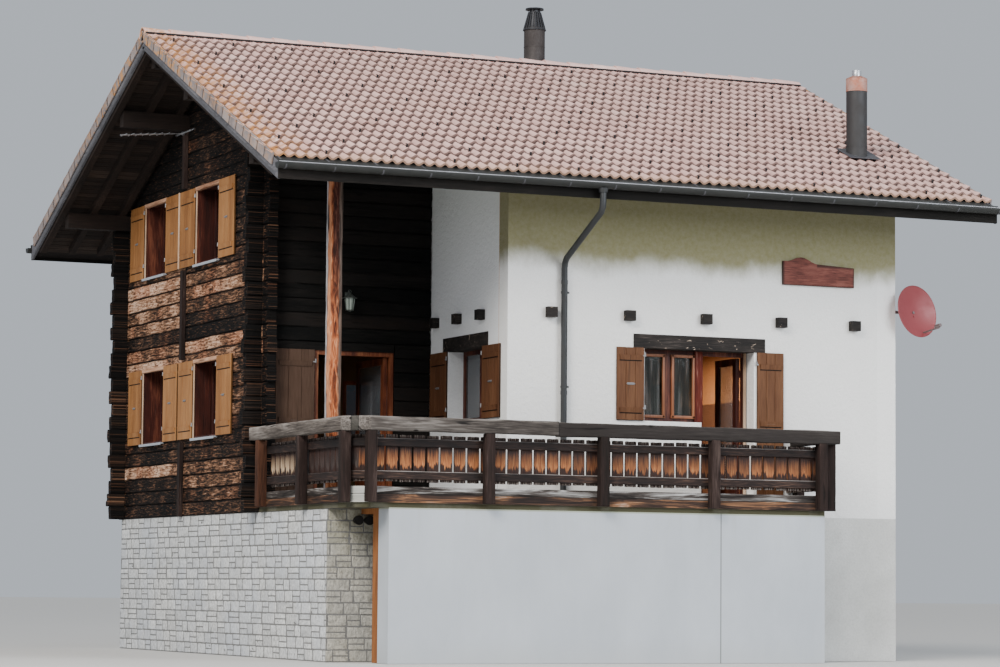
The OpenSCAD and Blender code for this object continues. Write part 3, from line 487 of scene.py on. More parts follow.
# hewn logs: pale flecked logs among dark ones, in its own way on each side of the clamp
def hewnLogs(name, along, bareFar, bareNear, splitAt, endShadeFrom, endShadeTo, inside):
    made = Finish(name, 0.86, 0.15)
    x, y, z = made.axes()
    run, deep = (x, y) if along == "x" else (y, x)
    waver = made.noise(1.0, 2.0, 0.5, at=(run * 1.3, z * 0.7, 0.5))
    count = (z + waver.span(0.2, 0.8, -0.022, 0.022) - house["baseTop"]) / house["logHigh"]
    course = made.floor(count)
    level = (course + 0.5) / 40.0
    far, near = [made.ramp(level, *[((height - 2.0) / 8.0, (v, v, v)) for height, v in rows])
                 for rows in (bareFar, bareNear)]
    half = run.span(splitAt - 0.01, splitAt + 0.01)
    zone = made.mix(half, near, far)
    each = made.white((course, half + 5.1, 2.2))
    drift = made.noise(1.3, 3.0, 0.6, at=(run * 0.9, course * 7.31, half))
    chips = made.noise(1.0, 5.0, 0.68, 0.55, at=(run * 4.2, z * 34.0, 0.0))
    fibre = made.noise(1.0, 3.0, 0.6, 0.3, at=(run * 4.0, z * 70.0, 0.0))
    bare = zone + drift.span(0.25, 0.75, -0.22, 0.20) + each.span(0.0, 1.0, -0.05, 0.05)
    bare = bare + chips.span(0.25, 0.75, -0.27, 0.27) + fibre.span(0.25, 0.75, -0.10, 0.10)
    # painted shade on the log ends past the corners, deeper higher up under the roof
    endShade = made.most(run.span(*endShadeFrom, 0.42, 0.0), run.span(*endShadeTo, 0.0, 0.26))
    bare = bare - endShade * z.span(2.4, 4.6, 0.52, 1.0)
    made.colour = made.ramp(bare, (0.30, (0.0055, 0.005, 0.005)), (0.44, (0.026, 0.018, 0.014)),
                            (0.54, (0.10, 0.052, 0.031)), (0.64, (0.33, 0.17, 0.095)),
                            (0.78, (0.64, 0.40, 0.27)), (0.97, (0.90, 0.66, 0.50)))
    flakes = made.noise(1.0, 3.0, 0.6, 0.4, at=(run * 7.0, z * 62.0, 4.0))
    made.coat(flakes.span(0.585, 0.645, 0.0, 0.75) * zone.span(0.20, 0.40, 0.45, 1.0), (0.27, 0.135, 0.075))
    pits = made.noise(1.0, 2.0, 0.5, 0.5, at=(run * 11.0, z * 30.0, 7.0))
    made.coat(pits.span(0.36, 0.46, 0.80, 0.0), (0.11, 0.055, 0.030), "MULTIPLY")
    reddish = made.noise(1.7, 3.0, at=(run * 0.8, course * 3.7, 9.0))
    made.coat(reddish.span(0.50, 0.66, 0.0, 0.55), (0.80, 0.52, 0.42), "MULTIPLY")
    made.coat(zone.span(0.38, 0.58, 0.55, 0.0), (0.42, 0.42, 0.45), "MULTIPLY")
    inCourse = made.fract(count)
    made.coat(made.least(inCourse, 1.0 - inCourse).span(0.03, 0.12, 0.94, 0.0), (0.004, 0.0035, 0.0035))
    room = deep.span(inside[0], inside[1]) * run.span(inside[2], inside[2] + 0.005)
    made.coat(room, (0.20, 0.10, 0.045))
    made.done(chips + fibre * 0.5, 0.022)


def lintelFinish():
    # charred beam with small pale chips
    made = Finish("chippedLintel", 0.75, 0.25)
    fibre = made.noise(60.0, 4.0, 0.62, 0.2, scale=(0.08, 0.3, 1.0))
    cloud = made.noise(4.0, 4.0, 0.6, 0.3, scale=(0.3, 0.5, 1.0))
    made.colour = made.ramp(fibre * 0.5 + cloud * 0.5, (0.40, (0.009, 0.008, 0.008)),
                            (0.54, (0.022, 0.018, 0.016)), (0.68, (0.070, 0.056, 0.050)))
    chips = made.noise(13.0, 3.0, 0.6, 0.8, scale=(0.6, 1.0, 1.4), shift=(0.3, 0.7, 0.1))
    made.coat(chips.span(0.655, 0.70, 0.0, 0.9), (0.42, 0.33, 0.26))
    made.done(fibre, 0.005)


def signFinish():
    # stained board, darker along its edges; it carries nothing
    made = Finish("signBoard", 0.7, 0.25)
    x, y, z = made.axes()
    fibre = made.noise(55.0, 4.0, 0.62, 0.3, scale=(0.08, 1.0, 1.0))
    cloud = made.noise(7.0, 4.0, 0.6, 0.3, scale=(0.4, 1.0, 1.0))
    made.colour = made.ramp(fibre * 0.45 + cloud * 0.55, (0.36, (0.055, 0.016, 0.012)),
                            (0.50, (0.150, 0.044, 0.033)), (0.64, (0.250, 0.090, 0.068)))
    rim = made.most(x.falls(2.466, 2.500), x.span(3.572, 3.604))
    rim = made.most(rim, z.falls(5.252, 5.272))
    rim = made.most(rim, z.span(5.50, 5.53) * x.span(3.0, 3.01))
    made.coat(rim * 0.8, (0.028, 0.012, 0.009))
    made.done(fibre, 0.003)


def metal(name, base, rough=0.45, shine=0.6, wear=0.25, grime=(0.05, 0.045, 0.04)):
    made = Finish(name, rough, metal=shine)
    spots = made.noise(6.0, 6.0, 0.65)
    made.colour = made.mix(spots.span(0.42, 0.72, 0.0, wear), base, grime)
    made.done(made.noise(90.0, 2.0, 0.5), 0.0006,
              spots.span(0.3, 0.7, max(rough - 0.12, 0.05), min(rough + 0.18, 1.0)))


def tileFinish():
    made = Finish("clayTile", 0.78)
    x, y, z = made.axes()
    blot = made.noise(5.0, 5.0, 0.65)
    grain = made.noise(120.0, 3.0, 0.6)
    wide = made.noise(0.7, 3.0, 0.6)
    made.colour = made.ramp(made.tone(), (0.0, (0.62, 0.375, 0.335)), (0.35, (0.76, 0.475, 0.435)),
                            (0.7, (0.86, 0.565, 0.52)), (1.0, (0.94, 0.67, 0.61)))
    made.coat(blot.span(0.40, 0.75, 0.0, 0.30), (0.34, 0.205, 0.17))
    made.coat(wide.span(0.35, 0.70, 0.0, 0.25), (0.58, 0.40, 0.32))
    # painted shade in the rolls and under the lip of the next tile, the lip itself painted dark for its
    # shade, and dirt low on the slope
    dip = made.tone("dip")
    tail = made.tone("tail")
    made.coat(dip.span(0.35, 1.0, 0.0, 0.38), (0.20, 0.115, 0.09))
    under = tail - dip.span(0.0, 1.0, 0.0, 0.16)
    made.coat(under.span(0.255, 0.345, 0.96, 0.0), (0.030, 0.016, 0.014))
    made.coat(tail.span(0.968, 0.990, 0.0, 0.76), (0.09, 0.048, 0.040))
    made.coat(z.span(6.40, 6.62, 0.55, 0.0), (0.56, 0.345, 0.20))
    made.coat(grain.span(0.3, 0.7, 0.12, 0.0), (0.14, 0.09, 0.075))
    moss = x.falls(roof["left"] + 0.15, roof["left"] + 0.75) * made.noise(9.0, 5.0, 0.7).span(0.42, 0.58)
    made.coat(moss * 0.8, (0.52, 0.24, 0.075))
    made.done(grain + blot * 0.6, 0.0025)


def vergeTileFinish():
    # weathered grey tiles with orange lichen
    made = Finish("vergeTile", 0.85)
    x, y, z = made.axes()
    cloud = made.noise(4.0, 5.0, 0.65)
    spots = made.noise(11.0, 5.0, 0.7)
    made.colour = made.ramp(made.tone(), (0.0, (0.13, 0.115, 0.12)), (1.0, (0.27, 0.225, 0.215)))
    made.coat(cloud.span(0.4, 0.65, 0.0, 0.6), (0.36, 0.31, 0.30))
    made.coat(spots.span(0.48, 0.60) * z.span(7.3, 8.3, 0.25, 0.9), (0.52, 0.25, 0.08))
    made.done(cloud, 0.004)


def stoneFinish():
    made = Finish("splitStone", 0.88)
    x, y, z = made.axes()
    rock = made.noise(19.0, 6.0, 0.72)
    cloud = made.noise(1.1, 4.0, 0.6)
    chisel = made.noise(30.0, 3.0, 0.6, scale=(1.0, 1.0, 0.6))
    made.colour = made.ramp(made.tone(), (0.0, (0.60, 0.605, 0.60)), (0.5, (0.75, 0.755, 0.745)),
                            (1.0, (0.88, 0.885, 0.87)))
    made.coat(rock.span(0.34, 0.56, 0.55, 0.0), (0.30, 0.30, 0.295))
    made.coat(chisel.span(0.36, 0.52, 0.62, 0.0), (0.30, 0.30, 0.295))
    made.coat(cloud.span(0.40, 0.65, 0.0, 0.55), (0.55, 0.59, 0.66))
    # the return beside the way in is painted darker and browner for the shade it lies in, with moss where the
    # terrace edge drips
    onReturn = y.falls(-4.512, -4.508)
    made.coat(onReturn * 0.85, (0.66, 0.62, 0.52), "MULTIPLY")
    drip = z.span(1.1, 2.0) * onReturn * made.noise(3.0, 4.0, 0.6).span(0.25, 0.65)
    made.coat(drip * 0.85, (0.23, 0.22, 0.12))
    made.coat(z.span(1.9, 2.0, 0.0, 0.5) * cloud, (0.25, 0.25, 0.20))
    made.done(rock + chisel, 0.014)


def slabFinish():
    made = Finish("slabConcrete", 0.9)
    x, y, z = made.axes()
    grit = made.noise(40.0, 5.0, 0.65)
    cloud = made.noise(1.6, 4.0, 0.6)
    made.colour = made.ramp(cloud, (0.3, (0.33, 0.32, 0.29)), (0.7, (0.46, 0.455, 0.43)))
    made.coat(grit.span(0.3, 0.6, 0.35, 0.0), (0.2, 0.2, 0.18))
    # painted shadow along the foot of the slab edge, under the fascia
    made.coat(z.falls(2.06, 2.08) * cloud.span(0.2, 0.5, 0.75, 1.0), (0.05, 0.047, 0.022))
    # square paving on the walking side
    joint = made.most(*[abs(made.fract(run / 0.4) - 0.5) for run in (x, y)]).span(0.480, 0.492)
    made.coat(z.span(2.245, 2.249) * joint, (0.13, 0.125, 0.12))
    made.done(grit, 0.004)


def skirtFinish():
    # panels with damp runs, an olive band of moss and painted shade under the slab, and splashes at the foot
    made = Finish("skirtPanel", 0.75)
    x, y, z = made.axes()
    cloud = made.noise(1.3, 5.0, 0.6, scale=(1.0, 1.0, 0.5))
    made.colour = made.ramp(cloud, (0.30, (0.43, 0.465, 0.51)), (0.70, (0.52, 0.555, 0.60)))
    each = made.white((made.floor((x - 2.06) / 2.5), 1.1, 0.3))
    made.coat(each.span(0.0, 1.0, 0.0, 0.22), (0.41, 0.44, 0.48))
    streak = made.noise(1.2, 4.0, 0.6, scale=(6.0, 6.0, 0.35))
    made.coat(z.span(1.3, 2.0) * streak.span(0.5, 0.8, 0.0, 0.4), (0.38, 0.40, 0.40))
    # moss with painted shade in the band under the slab
    made.coat(z.span(1.972, 1.992, 0.0, 0.7, soft=True), (0.26, 0.28, 0.16))
    made.coat(z.span(0.0, 0.35, 0.35, 0.0) * cloud, (0.32, 0.31, 0.24))
    made.coat(abs(x - 0.97).span(0.006, 0.010, 0.8, 0.0), (0.10, 0.10, 0.09))
    made.done(made.noise(60.0, 3.0, 0.6), 0.0015)


def concreteFinish(name, dark, light):
    made = Finish(name, 0.92)
    grit = made.noise(34.0, 5.0, 0.65)
    made.colour = made.ramp(made.noise(1.2, 4.0, 0.6), (0.3, dark), (0.7, light))
    made.coat(grit.span(0.3, 0.6, 0.25, 0.0), tuple(v * 0.5 for v in dark))
    made.done(grit, 0.005)


def mortarFinish():
    made = Finish("mortarBed", 0.95)
    grit = made.noise(50.0, 4.0, 0.6)
    made.colour = made.ramp(grit, (0.3, (0.13, 0.13, 0.128)), (0.7, (0.22, 0.22, 0.215)))
    made.done(grit, 0.004)


def glassFinish():
    made = Finish("paneGlass", 0.03, **{"IOR": 1.5, "Transmission Weight": 0.86})
    x, y, z = made.axes()
    film = made.noise(2.2, 3.0, 0.5)
    made.colour = made.ramp(film, (0.3, (0.42, 0.46, 0.50)), (0.7, (0.52, 0.56, 0.60)))
    # panes on the two far sides painted dark, a painted shade for the unlit rooms behind
    made.coat(made.most(y.span(3.9, 3.91), x.span(3.9, 3.91)), (0.035, 0.04, 0.045))
    # drawn curtains behind the front panes, with painted reflections
    folds = made.noise(2.4, 3.0, 0.55, scale=(7.0, 1.0, 0.5))
    curtainAndReflection = made.ramp(folds, (0.38, (0.045, 0.050, 0.034)), (0.50, (0.16, 0.17, 0.14)),
                        (0.62, (0.42, 0.43, 0.41)))
    made.coat(y.falls(-4.2, -4.19) * x.falls(1.25, 1.26), curtainAndReflection)
    made.done(None, 0.0, film.span(0.3, 0.7, 0.02, 0.06))


def roomWall(name, base, side):
    # rendered walls of the rooms: white outside and darker high up under the roof, an olive stain on the
    # front wall and painted shade on the loggia wall, warm paint inside
    made = Finish(name, 0.9)
    x, y, z = made.axes()
    grit = made.noise(42.0, 4.0, 0.7)
    lumps = made.noise(15.0, 3.0, 0.6)
    cloud = made.noise(0.9, 5.0, 0.6)
    ragged = made.noise(1.4, 5.0, 0.62, scale=(1.0, 1.0, 0.6))
    made.colour = made.mix(cloud.span(0.35, 0.75, 0.0, 0.35), base, tuple(v * 0.88 for v in base))
    made.coat(grit.span(0.35, 0.6, 0.16, 0.0), tuple(v * 0.6 for v in base))
    edge = z + ragged.span(0.3, 0.7, -0.10, 0.10)
    broken = lumps.span(0.3, 0.7, 0.93, 1.0)
    made.coat(edge.span(*side["upperDarkeningOver"], soft=True) * broken, side["upperDarkening"])
    if "corner" in side:
        # the end face of this wall belongs to the front
        plain = made.mix(edge.span(5.22, 5.62, soft=True) * broken, base, side["corner"])
        made.coat(y.falls(-4.505, -4.500), plain)
    axis = {"x": x, "y": y}[side["axis"]]
    paint = made.mix(z.span(3.86, 3.88), (0.085, 0.032, 0.018), (0.66, 0.31, 0.14))
    paint = made.mix(cloud.span(0.3, 0.7, 0.0, 0.3), paint, (0.30, 0.14, 0.07))
    if "dusk" in side:
        # the unlit room behind the covered corner
        paint = made.mix(x.falls(side["dusk"], side["dusk"] + 0.3), paint, (0.062, 0.050, 0.033))
    made.coat(axis.span(*side["inside"]) * y.span(-4.45, -4.44), paint)
    if "headAt" in side:
        # underside of the lintel in the reveals
        near, depth, other, start = side["headAt"]
        head = z.span(4.275, 4.277) * z.falls(4.300, 4.302)
        head = head * axis.span(near, near + 0.002) * axis.falls(depth, depth + 0.002)
        made.coat(head * {"x": x, "y": y}[other].span(start, start + 0.002), (0.02, 0.016, 0.013))
    made.done(grit * 0.7 + lumps, 0.012)


def infillFinish():
    # boards charred at both ends, glowing orange between the two long boards
    made = Finish("scorchedBoards", 0.7, 0.3)
    x, y, z = made.axes()
    across = made.tone("across")
    tone = made.tone()
    streak = made.noise(1.0, 3.0, 0.6, 0.2, at=(across * 3.2 + tone * 61.0, z * 2.2, tone * 17.0))
    fine = made.noise(1.0, 3.0, 0.6, at=(across * 14.0, z * 5.0, tone * 29.0))
    foot = across * across * 0.055 + 2.487 + streak.span(0.3, 0.7, -0.03, 0.085)
    head = (z - streak.span(0.3, 0.7, -0.05, 0.05)).falls(2.565, 2.745)
    glow = (z - foot).span(0.0, 0.022) * head * tone.span(0.0, 1.0, 0.30, 1.0)
    glow = glow * across.span(0.84, 1.0, 1.0, 0.1) * across.span(-1.0, -0.84, 0.1, 1.0)
    onSide = x.falls(-4.22, -4.21)
    orange = made.ramp(fine, (0.28, (0.09, 0.025, 0.010)), (0.45, (0.34, 0.105, 0.035)),
                       (0.60, (0.60, 0.235, 0.075)), (0.78, (0.80, 0.45, 0.20)))
    char = made.ramp(fine, (0.3, (0.007, 0.005, 0.005)), (0.62, (0.038, 0.015, 0.010)),
                     (0.85, (0.13, 0.055, 0.032)))
    bleached = made.ramp(fine, (0.30, (0.14, 0.07, 0.035)), (0.48, (0.50, 0.33, 0.19)),
                         (0.66, (0.80, 0.66, 0.47)))
    smoky = made.ramp(fine, (0.40, (0.030, 0.026, 0.025)), (0.60, (0.085, 0.075, 0.070)),
                      (0.76, (0.50, 0.46, 0.42)))
    orange = made.mix(onSide * y.span(-3.35, -3.34), orange, bleached)
    orange = made.mix(onSide * y.falls(-3.35, -3.34), orange, smoky)
    made.colour = made.mix(glow, char, orange)
    worn = z.falls(2.345, 2.372) * fine.span(0.52, 0.60)
    worn = made.most(worn, z.span(2.895, 2.93) * fine.span(0.50, 0.62, 0.0, 0.7))
    made.coat(worn, (0.36, 0.31, 0.27))
    made.done(fine, 0.004)


def railFinish(name, along, dark, middle, light):
    made = Finish(name, 0.85, 0.2)
    x, y, z = made.axes()
    stretch, wide = [(share, 1.0, 1.0) if along == "x" else (1.0, share, 1.0) for share in (0.05, 0.22)]
    fibre = made.noise(60.0, 4.0, 0.62, 0.2, scale=stretch)
    smoke = made.noise(5.5, 4.0, 0.62, 0.6, scale=wide)
    large = made.noise(1.1, 3.0, 0.5, scale=wide, shift=(2.0, 1.0, 3.0))
    level = fibre * 0.34 + smoke * 0.40 + large * 0.26 + z.span(3.13, 3.17, 0.0, 0.08)
    made.colour = made.ramp(level, (0.37, dark), (0.49, middle), (0.62, light))
    made.coat(z.span(3.02, 3.12, 0.35, 0.0) * smoke.span(0.4, 0.6), (0.012, 0.010, 0.009))
    made.coat(x.span(-1.52, -1.50) * z.span(3.14, 3.16, 0.88, 0.15), (0.022, 0.018, 0.017))
    knot = made.cells(2.3, scale=tuple(0.8 if v < 1.0 else 1.5 for v in stretch))
    made.coat(knot.span(0.045, 0.085, 0.96, 0.0), (0.008, 0.006, 0.005))
    split = made.noise(17.0, 2.0, 0.5, 0.5, scale=stretch, shift=(3.1, 1.7, 0.4))
    made.coat(split.span(0.31, 0.37, 0.9, 0.0), (0.006, 0.005, 0.005))
    # the darker cut-off corner piece with its two seams, and the joint between two lengths
    cut = house["cut"]
    skew = (x - y + (house["terraceFront"] - house["left"] + cut)) / (2.0 * cut)
    made.coat(skew.span(0.25, 0.255) * skew.falls(0.62, 0.625) * 0.80, (0.034, 0.033, 0.028))
    for seam in (0.25, 0.62):
        made.coat(abs(skew - seam).span(0.008, 0.018, 0.95, 0.0), (0.006, 0.005, 0.005))
    made.coat(abs(x + 1.514).falls(0.003, 0.010), (0.01, 0.008, 0.007))
    made.done(fibre + smoke, 0.008)


def fasciaFinish():
    # two edge boards: grey over brown, both smoky
    made = Finish("smokyFascia", 0.8, 0.25)
    x, y, z = made.axes()
    onSide = x.falls(-4.31, -4.30)
    long, shift = made.axes(made.mix(onSide, made.join(x, 0.0, 0.0), made.join(y, 7.0, 0.0)))[:2]
    smoke = made.noise(1.0, 5.0, 0.62, 1.3, at=(long * 0.9 + shift, z * 11.0, 0.0))
    grain = made.noise(1.0, 3.0, 0.6, at=(long * 3.0, z * 90.0, shift))
    level = smoke * 0.78 + grain * 0.22
    upper = made.ramp(level, (0.42, (0.014, 0.011, 0.010)), (0.51, (0.075, 0.063, 0.057)),
                      (0.57, (0.28, 0.27, 0.26)), (0.66, (0.62, 0.62, 0.61)))
    lower = made.ramp(level, (0.42, (0.013, 0.008, 0.007)), (0.52, (0.055, 0.030, 0.020)),
                      (0.60, (0.24, 0.115, 0.055)), (0.70, (0.48, 0.40, 0.34)))
    made.colour = made.mix(z.span(2.172, 2.176), lower, upper)
    made.coat(onSide * 0.5, (0.20, 0.135, 0.10), "MULTIPLY")
    plain = made.ramp(smoke, (0.3, (0.33, 0.33, 0.30)), (0.6, (0.56, 0.56, 0.53)))
    made.coat(x.falls(-4.115, -4.105) * y.falls(-5.375, -5.365), plain)
    made.coat(abs(z - 2.174).falls(0.002, 0.005), (0.01, 0.008, 0.007))
    made.done(level, 0.006)


def stringerFinish():
    made = Finish("charredStringer", 0.75, 0.25)
    x, y, z = made.axes()
    fibre = made.noise(70.0, 4.0, 0.6, 0.2, scale=(0.08, 0.08, 1.0))
    cloud = made.noise(2.3, 4.0, 0.6, scale=(0.4, 0.4, 1.0))
    made.colour = made.ramp(fibre * 0.5 + cloud * 0.5, (0.40, (0.007, 0.005, 0.005)),
                            (0.54, (0.022, 0.013, 0.011)), (0.70, (0.11, 0.062, 0.043)))
    # pale top edges: a painted highlight, weaker on the side boards
    edge = made.most(z.span(2.880, 2.886) * z.falls(2.93, 2.931), z.span(2.460, 2.466) * z.falls(2.48, 2.481))
    pale = edge * cloud.span(0.35, 0.6, 0.15, 0.75) * x.span(-4.20, -4.10, 0.15, 1.0)
    made.coat(pale, (0.40, 0.37, 0.35))
    made.done(fibre, 0.005)


def trunkFinish():
    # a bare trunk coloured across its width as seen from the camera: grey on the left edge, lighter on the
    # left side (painted light), red-brown in the middle, and darker on the right edge and high on the right
    # (painted shade)
    made = Finish("trunkTimber", 0.8, 0.25)
    x, y, z = made.axes()
    turn = ((x + 4.13) * 0.914 - (y + 4.225) * 0.405) / 0.11
    across = turn + made.noise(2.2, 4.0, 0.6, scale=(0.0, 0.0, 1.0)).span(0.3, 0.7, -0.16, 0.16)
    fibre = made.noise(55.0, 4.0, 0.62, 0.3, scale=(1.0, 1.0, 0.06))
    flame = made.noise(24.0, 4.0, 0.6, 1.2, scale=(1.0, 1.0, 0.16))
    glow = made.ramp(flame, (0.34, (0.055, 0.012, 0.006)), (0.47, (0.25, 0.062, 0.021)),
                     (0.56, (0.44, 0.135, 0.048)), (0.70, (0.66, 0.34, 0.19)))
    dusk = made.ramp(flame, (0.34, (0.010, 0.005, 0.004)), (0.52, (0.060, 0.016, 0.010)),
                     (0.70, (0.20, 0.075, 0.045)))
    # painted shade high on the right of the trunk
    core = made.mix(z.span(4.2, 5.4) * across.span(-0.25, 0.0), glow, dusk)
    grey = made.ramp(fibre, (0.35, (0.06, 0.055, 0.055)), (0.5, (0.33, 0.32, 0.33)),
                     (0.65, (0.60, 0.60, 0.62)))
    brown = made.ramp(fibre, (0.35, (0.03, 0.022, 0.018)), (0.6, (0.20, 0.15, 0.12)))
    made.colour = made.mix(across.falls(-0.80, -0.68), core, grey)
    # painted light on the left side, painted shade on the right edge
    salmon = across.span(-0.76, -0.64) * across.falls(-0.42, -0.22)
    made.coat(salmon * 0.5, (0.62, 0.30, 0.16))
    made.coat(across.span(0.55, 0.75, 0.0, 0.9), brown)
    gap = made.noise(20.0, 2.0, 0.5, 0.5, scale=(1.0, 1.0, 0.05), shift=(3.0, 1.0, 2.0))
    made.coat(gap.span(0.32, 0.36, 0.9, 0.0), (0.012, 0.006, 0.005))
    made.done(fibre + flame, 0.010)


def buildLogFinishes():
    # how bare the logs are, by height over the ground
    far = ((2.1, 0.40), (2.5, 0.36), (2.7, 0.66), (2.9, 0.42), (3.1, 0.40), (4.1, 0.46), (4.3, 0.66),
           (4.5, 0.64), (4.7, 0.34), (4.9, 0.60), (5.1, 0.66), (5.3, 0.70), (5.5, 0.70), (5.7, 0.58),
           (5.9, 0.36), (6.9, 0.24), (7.5, 0.22), (9.0, 0.15))
    near = ((2.1, 0.46), (2.3, 0.44), (2.5, 0.58), (2.7, 0.56), (2.9, 0.44), (3.1, 0.44), (4.1, 0.50),
            (4.3, 0.62), (4.5, 0.74), (4.7, 0.34), (4.9, 0.40), (5.1, 0.56), (5.3, 0.62), (5.5, 0.54),
            (5.7, 0.46), (6.7, 0.38), (7.1, 0.36), (7.5, 0.38), (7.7, 0.30), (9.0, 0.15))
    back = ((2.1, 0.44), (2.5, 0.38), (2.9, 0.50), (3.7, 0.36), (4.5, 0.46), (5.3, 0.34), (6.1, 0.40),
            (9.0, 0.2))
    corner = ((2.1, 0.34), (2.7, 0.39), (3.3, 0.36), (3.9, 0.42), (4.3, 0.28), (5.1, 0.33), (5.5, 0.22),
              (6.1, 0.28), (6.9, 0.20), (9.0, 0.15))
    hewnLogs("gableLogs", "y", far, near, 1.545, (-1.93, -1.89), (4.53, 4.57), (-4.185, -4.18, -1.87))
    hewnLogs("backLogs", "x", back, back, 30.0, (-4.34, -4.30), (30.0, 31.0), (4.405, 4.40, -4.29))
    hewnLogs("cornerLogs", "y", corner, corner, 30.0, (-9.0, -8.0), (8.0, 9.0), (0.0, 0.1, 30.0))


def buildTimbers():
    # near-black: the logs' own dark colour, darkened further as painted shade of the covered corner
    timber("shelteredLogs", "x", (0.0040, 0.0042, 0.0042), (0.0120, 0.0105, 0.0098), (0.019, 0.013, 0.011),
           0.56, 2.5, tone=0.09, board=("z", 0.2), gloss=0.1)
    # one shutter timber in three copies: lit on the gable, in painted shade on the other walls, in deeper
    # painted shade under the covered corner
    timber("shutterTimber", "z", (0.16, 0.062, 0.018), (0.28, 0.122, 0.038), (0.40, 0.195, 0.075),
           0.47, 3.0, crack=0.25, tone=0.10, perPiece=True, depth=0.002, rough=0.6, shaded=True)
    timber("shadedShutterTimber", "z", (0.055, 0.022, 0.010), (0.105, 0.043, 0.019), (0.17, 0.078, 0.036),
           0.47, 3.0, crack=0.3, tone=0.08, perPiece=True, depth=0.002, rough=0.65, shaded=True)
    timber("duskyShutterTimber", "z", (0.030, 0.016, 0.011), (0.060, 0.034, 0.023), (0.10, 0.060, 0.042),
           crack=0.3, depth=0.002)
    timber("redBrownTimber", "z", (0.018, 0.006, 0.005), (0.052, 0.013, 0.009), (0.26, 0.085, 0.045),
           0.52, 3.5, crack=0.5, depth=0.002, rough=0.5)
    timber("loggiaDoorTimber", "z", (0.045, 0.010, 0.006), (0.15, 0.042, 0.018), (0.40, 0.17, 0.07),
           0.52, 6.0, crack=0.6, depth=0.002, rough=0.5)
    timber("pineSash", "z", (0.12, 0.04, 0.016), (0.25, 0.085, 0.033), (0.38, 0.16, 0.075),
           0.5, 4.0, crack=0.2, depth=0.001, gloss=0.4, rough=0.5)
    timber("wornPostTimber", "z", (0.045, 0.008, 0.006), (0.12, 0.022, 0.014), (0.55, 0.36, 0.29),
           0.57, 5.0, crack=0.5, depth=0.003)
    timber("paleStripTimber", "z", (0.30, 0.19, 0.12), (0.55, 0.38, 0.26), (0.72, 0.56, 0.42),
           0.5, 4.0, depth=0.001)
    timber("headBoardTimber", "y", (0.20, 0.085, 0.045), (0.52, 0.30, 0.19), (0.76, 0.55, 0.42),
           0.5, 4.0, crack=0.6, depth=0.003)
    # purlins, rafters and soffit boards: their own dark colour, darkened further as painted shade under the
    # roof
    timber("purlinTimber", "x", (0.007, 0.005, 0.0045), (0.017, 0.011, 0.009), (0.05, 0.033, 0.025),
           0.56, crack=0.5)
    timber("rafterTimber", "y", (0.010, 0.007, 0.006), (0.022, 0.014, 0.011), (0.055, 0.036, 0.027), 0.55)
    timber("soffitBoards", "x", (0.009, 0.0065, 0.006), (0.022, 0.015, 0.012), (0.055, 0.037, 0.028),
           0.55, crack=0.3, tone=0.10, perPiece=True)
    timber("vergeTimber", "y", (0.048, 0.048, 0.055), (0.105, 0.105, 0.118), (0.23, 0.23, 0.25),
           crack=0.35, depth=0.002)
    # eave board nearly black: painted shadow under the soffit
    timber("eaveTimber", "x", (0.004, 0.0035, 0.003), (0.008, 0.007, 0.006), (0.024, 0.019, 0.017),
           crack=0.35, depth=0.002)
    timber("postTimber", "z", (0.008, 0.006, 0.005), (0.024, 0.014, 0.012), (0.10, 0.07, 0.06),
           0.53, 4.0, crack=0.7)
    timber("wallPostTimber", "z", (0.020, 0.009, 0.006), (0.085, 0.034, 0.018), (0.20, 0.095, 0.055))
    timber("jambTimber", "z", (0.14, 0.05, 0.018), (0.33, 0.13, 0.045), (0.46, 0.22, 0.09), 0.48, crack=0.5)
    timber("floorTimber", "x", (0.16, 0.10, 0.06), (0.28, 0.18, 0.11), (0.36, 0.25, 0.16),
           crack=0.2, tone=0.08, board=("y", 0.14), depth=0.002, rough=0.5)


def buildMetals():
    metal("gutterMetal", (0.014, 0.0155, 0.0145), 0.5, 0.2, 0.3)
    metal("pipeMetal", (0.042, 0.045, 0.048), 0.48, 0.5, 0.3)
    metal("flueMetal", (0.036, 0.036, 0.038), 0.62, 0.25, 0.35)
    metal("silverMetal", (0.52, 0.54, 0.57), 0.35, 0.85, 0.2)
    metal("sillMetal", (0.56, 0.60, 0.66), 0.4, 0.5, 0.15)
    metal("copperMetal", (0.40, 0.15, 0.095), 0.6, 0.4, 0.75, (0.60, 0.47, 0.43))
    metal("leadMetal", (0.10, 0.10, 0.112), 0.6, 0.5, 0.3)
    # lighter metal for the gutter bead: a painted highlight along it
    metal("beadMetal", (0.40, 0.40, 0.43), 0.45, 0.5, 0.3)
    metal("blackMetal", (0.012, 0.012, 0.013), 0.5, 0.3, 0.2)
    metal("antennaMetal", (0.60, 0.62, 0.66), 0.3, 0.9, 0.1)
    metal("dishPaint", (0.27, 0.050, 0.056), 0.42, 0.1, 0.12, (0.22, 0.05, 0.052))
    metal("shutterIron", (0.30, 0.30, 0.31), 0.5, 0.5, 0.35)
    metal("stackMetal", (0.050, 0.042, 0.040), 0.65, 0.2, 0.5, (0.024, 0.020, 0.020))
    metal("cowlMetal", (0.030, 0.031, 0.036), 0.5, 0.4, 0.3, (0.012, 0.012, 0.014))
    metal("lanternMetal", (0.060, 0.070, 0.062), 0.5, 0.4, 0.4, (0.03, 0.034, 0.03))
    metal("lanternGlass", (0.34, 0.40, 0.35), 0.25, 0.0, 0.5, (0.14, 0.17, 0.14))
    metal("dishMount", (0.20, 0.16, 0.16), 0.5, 0.4, 0.3)


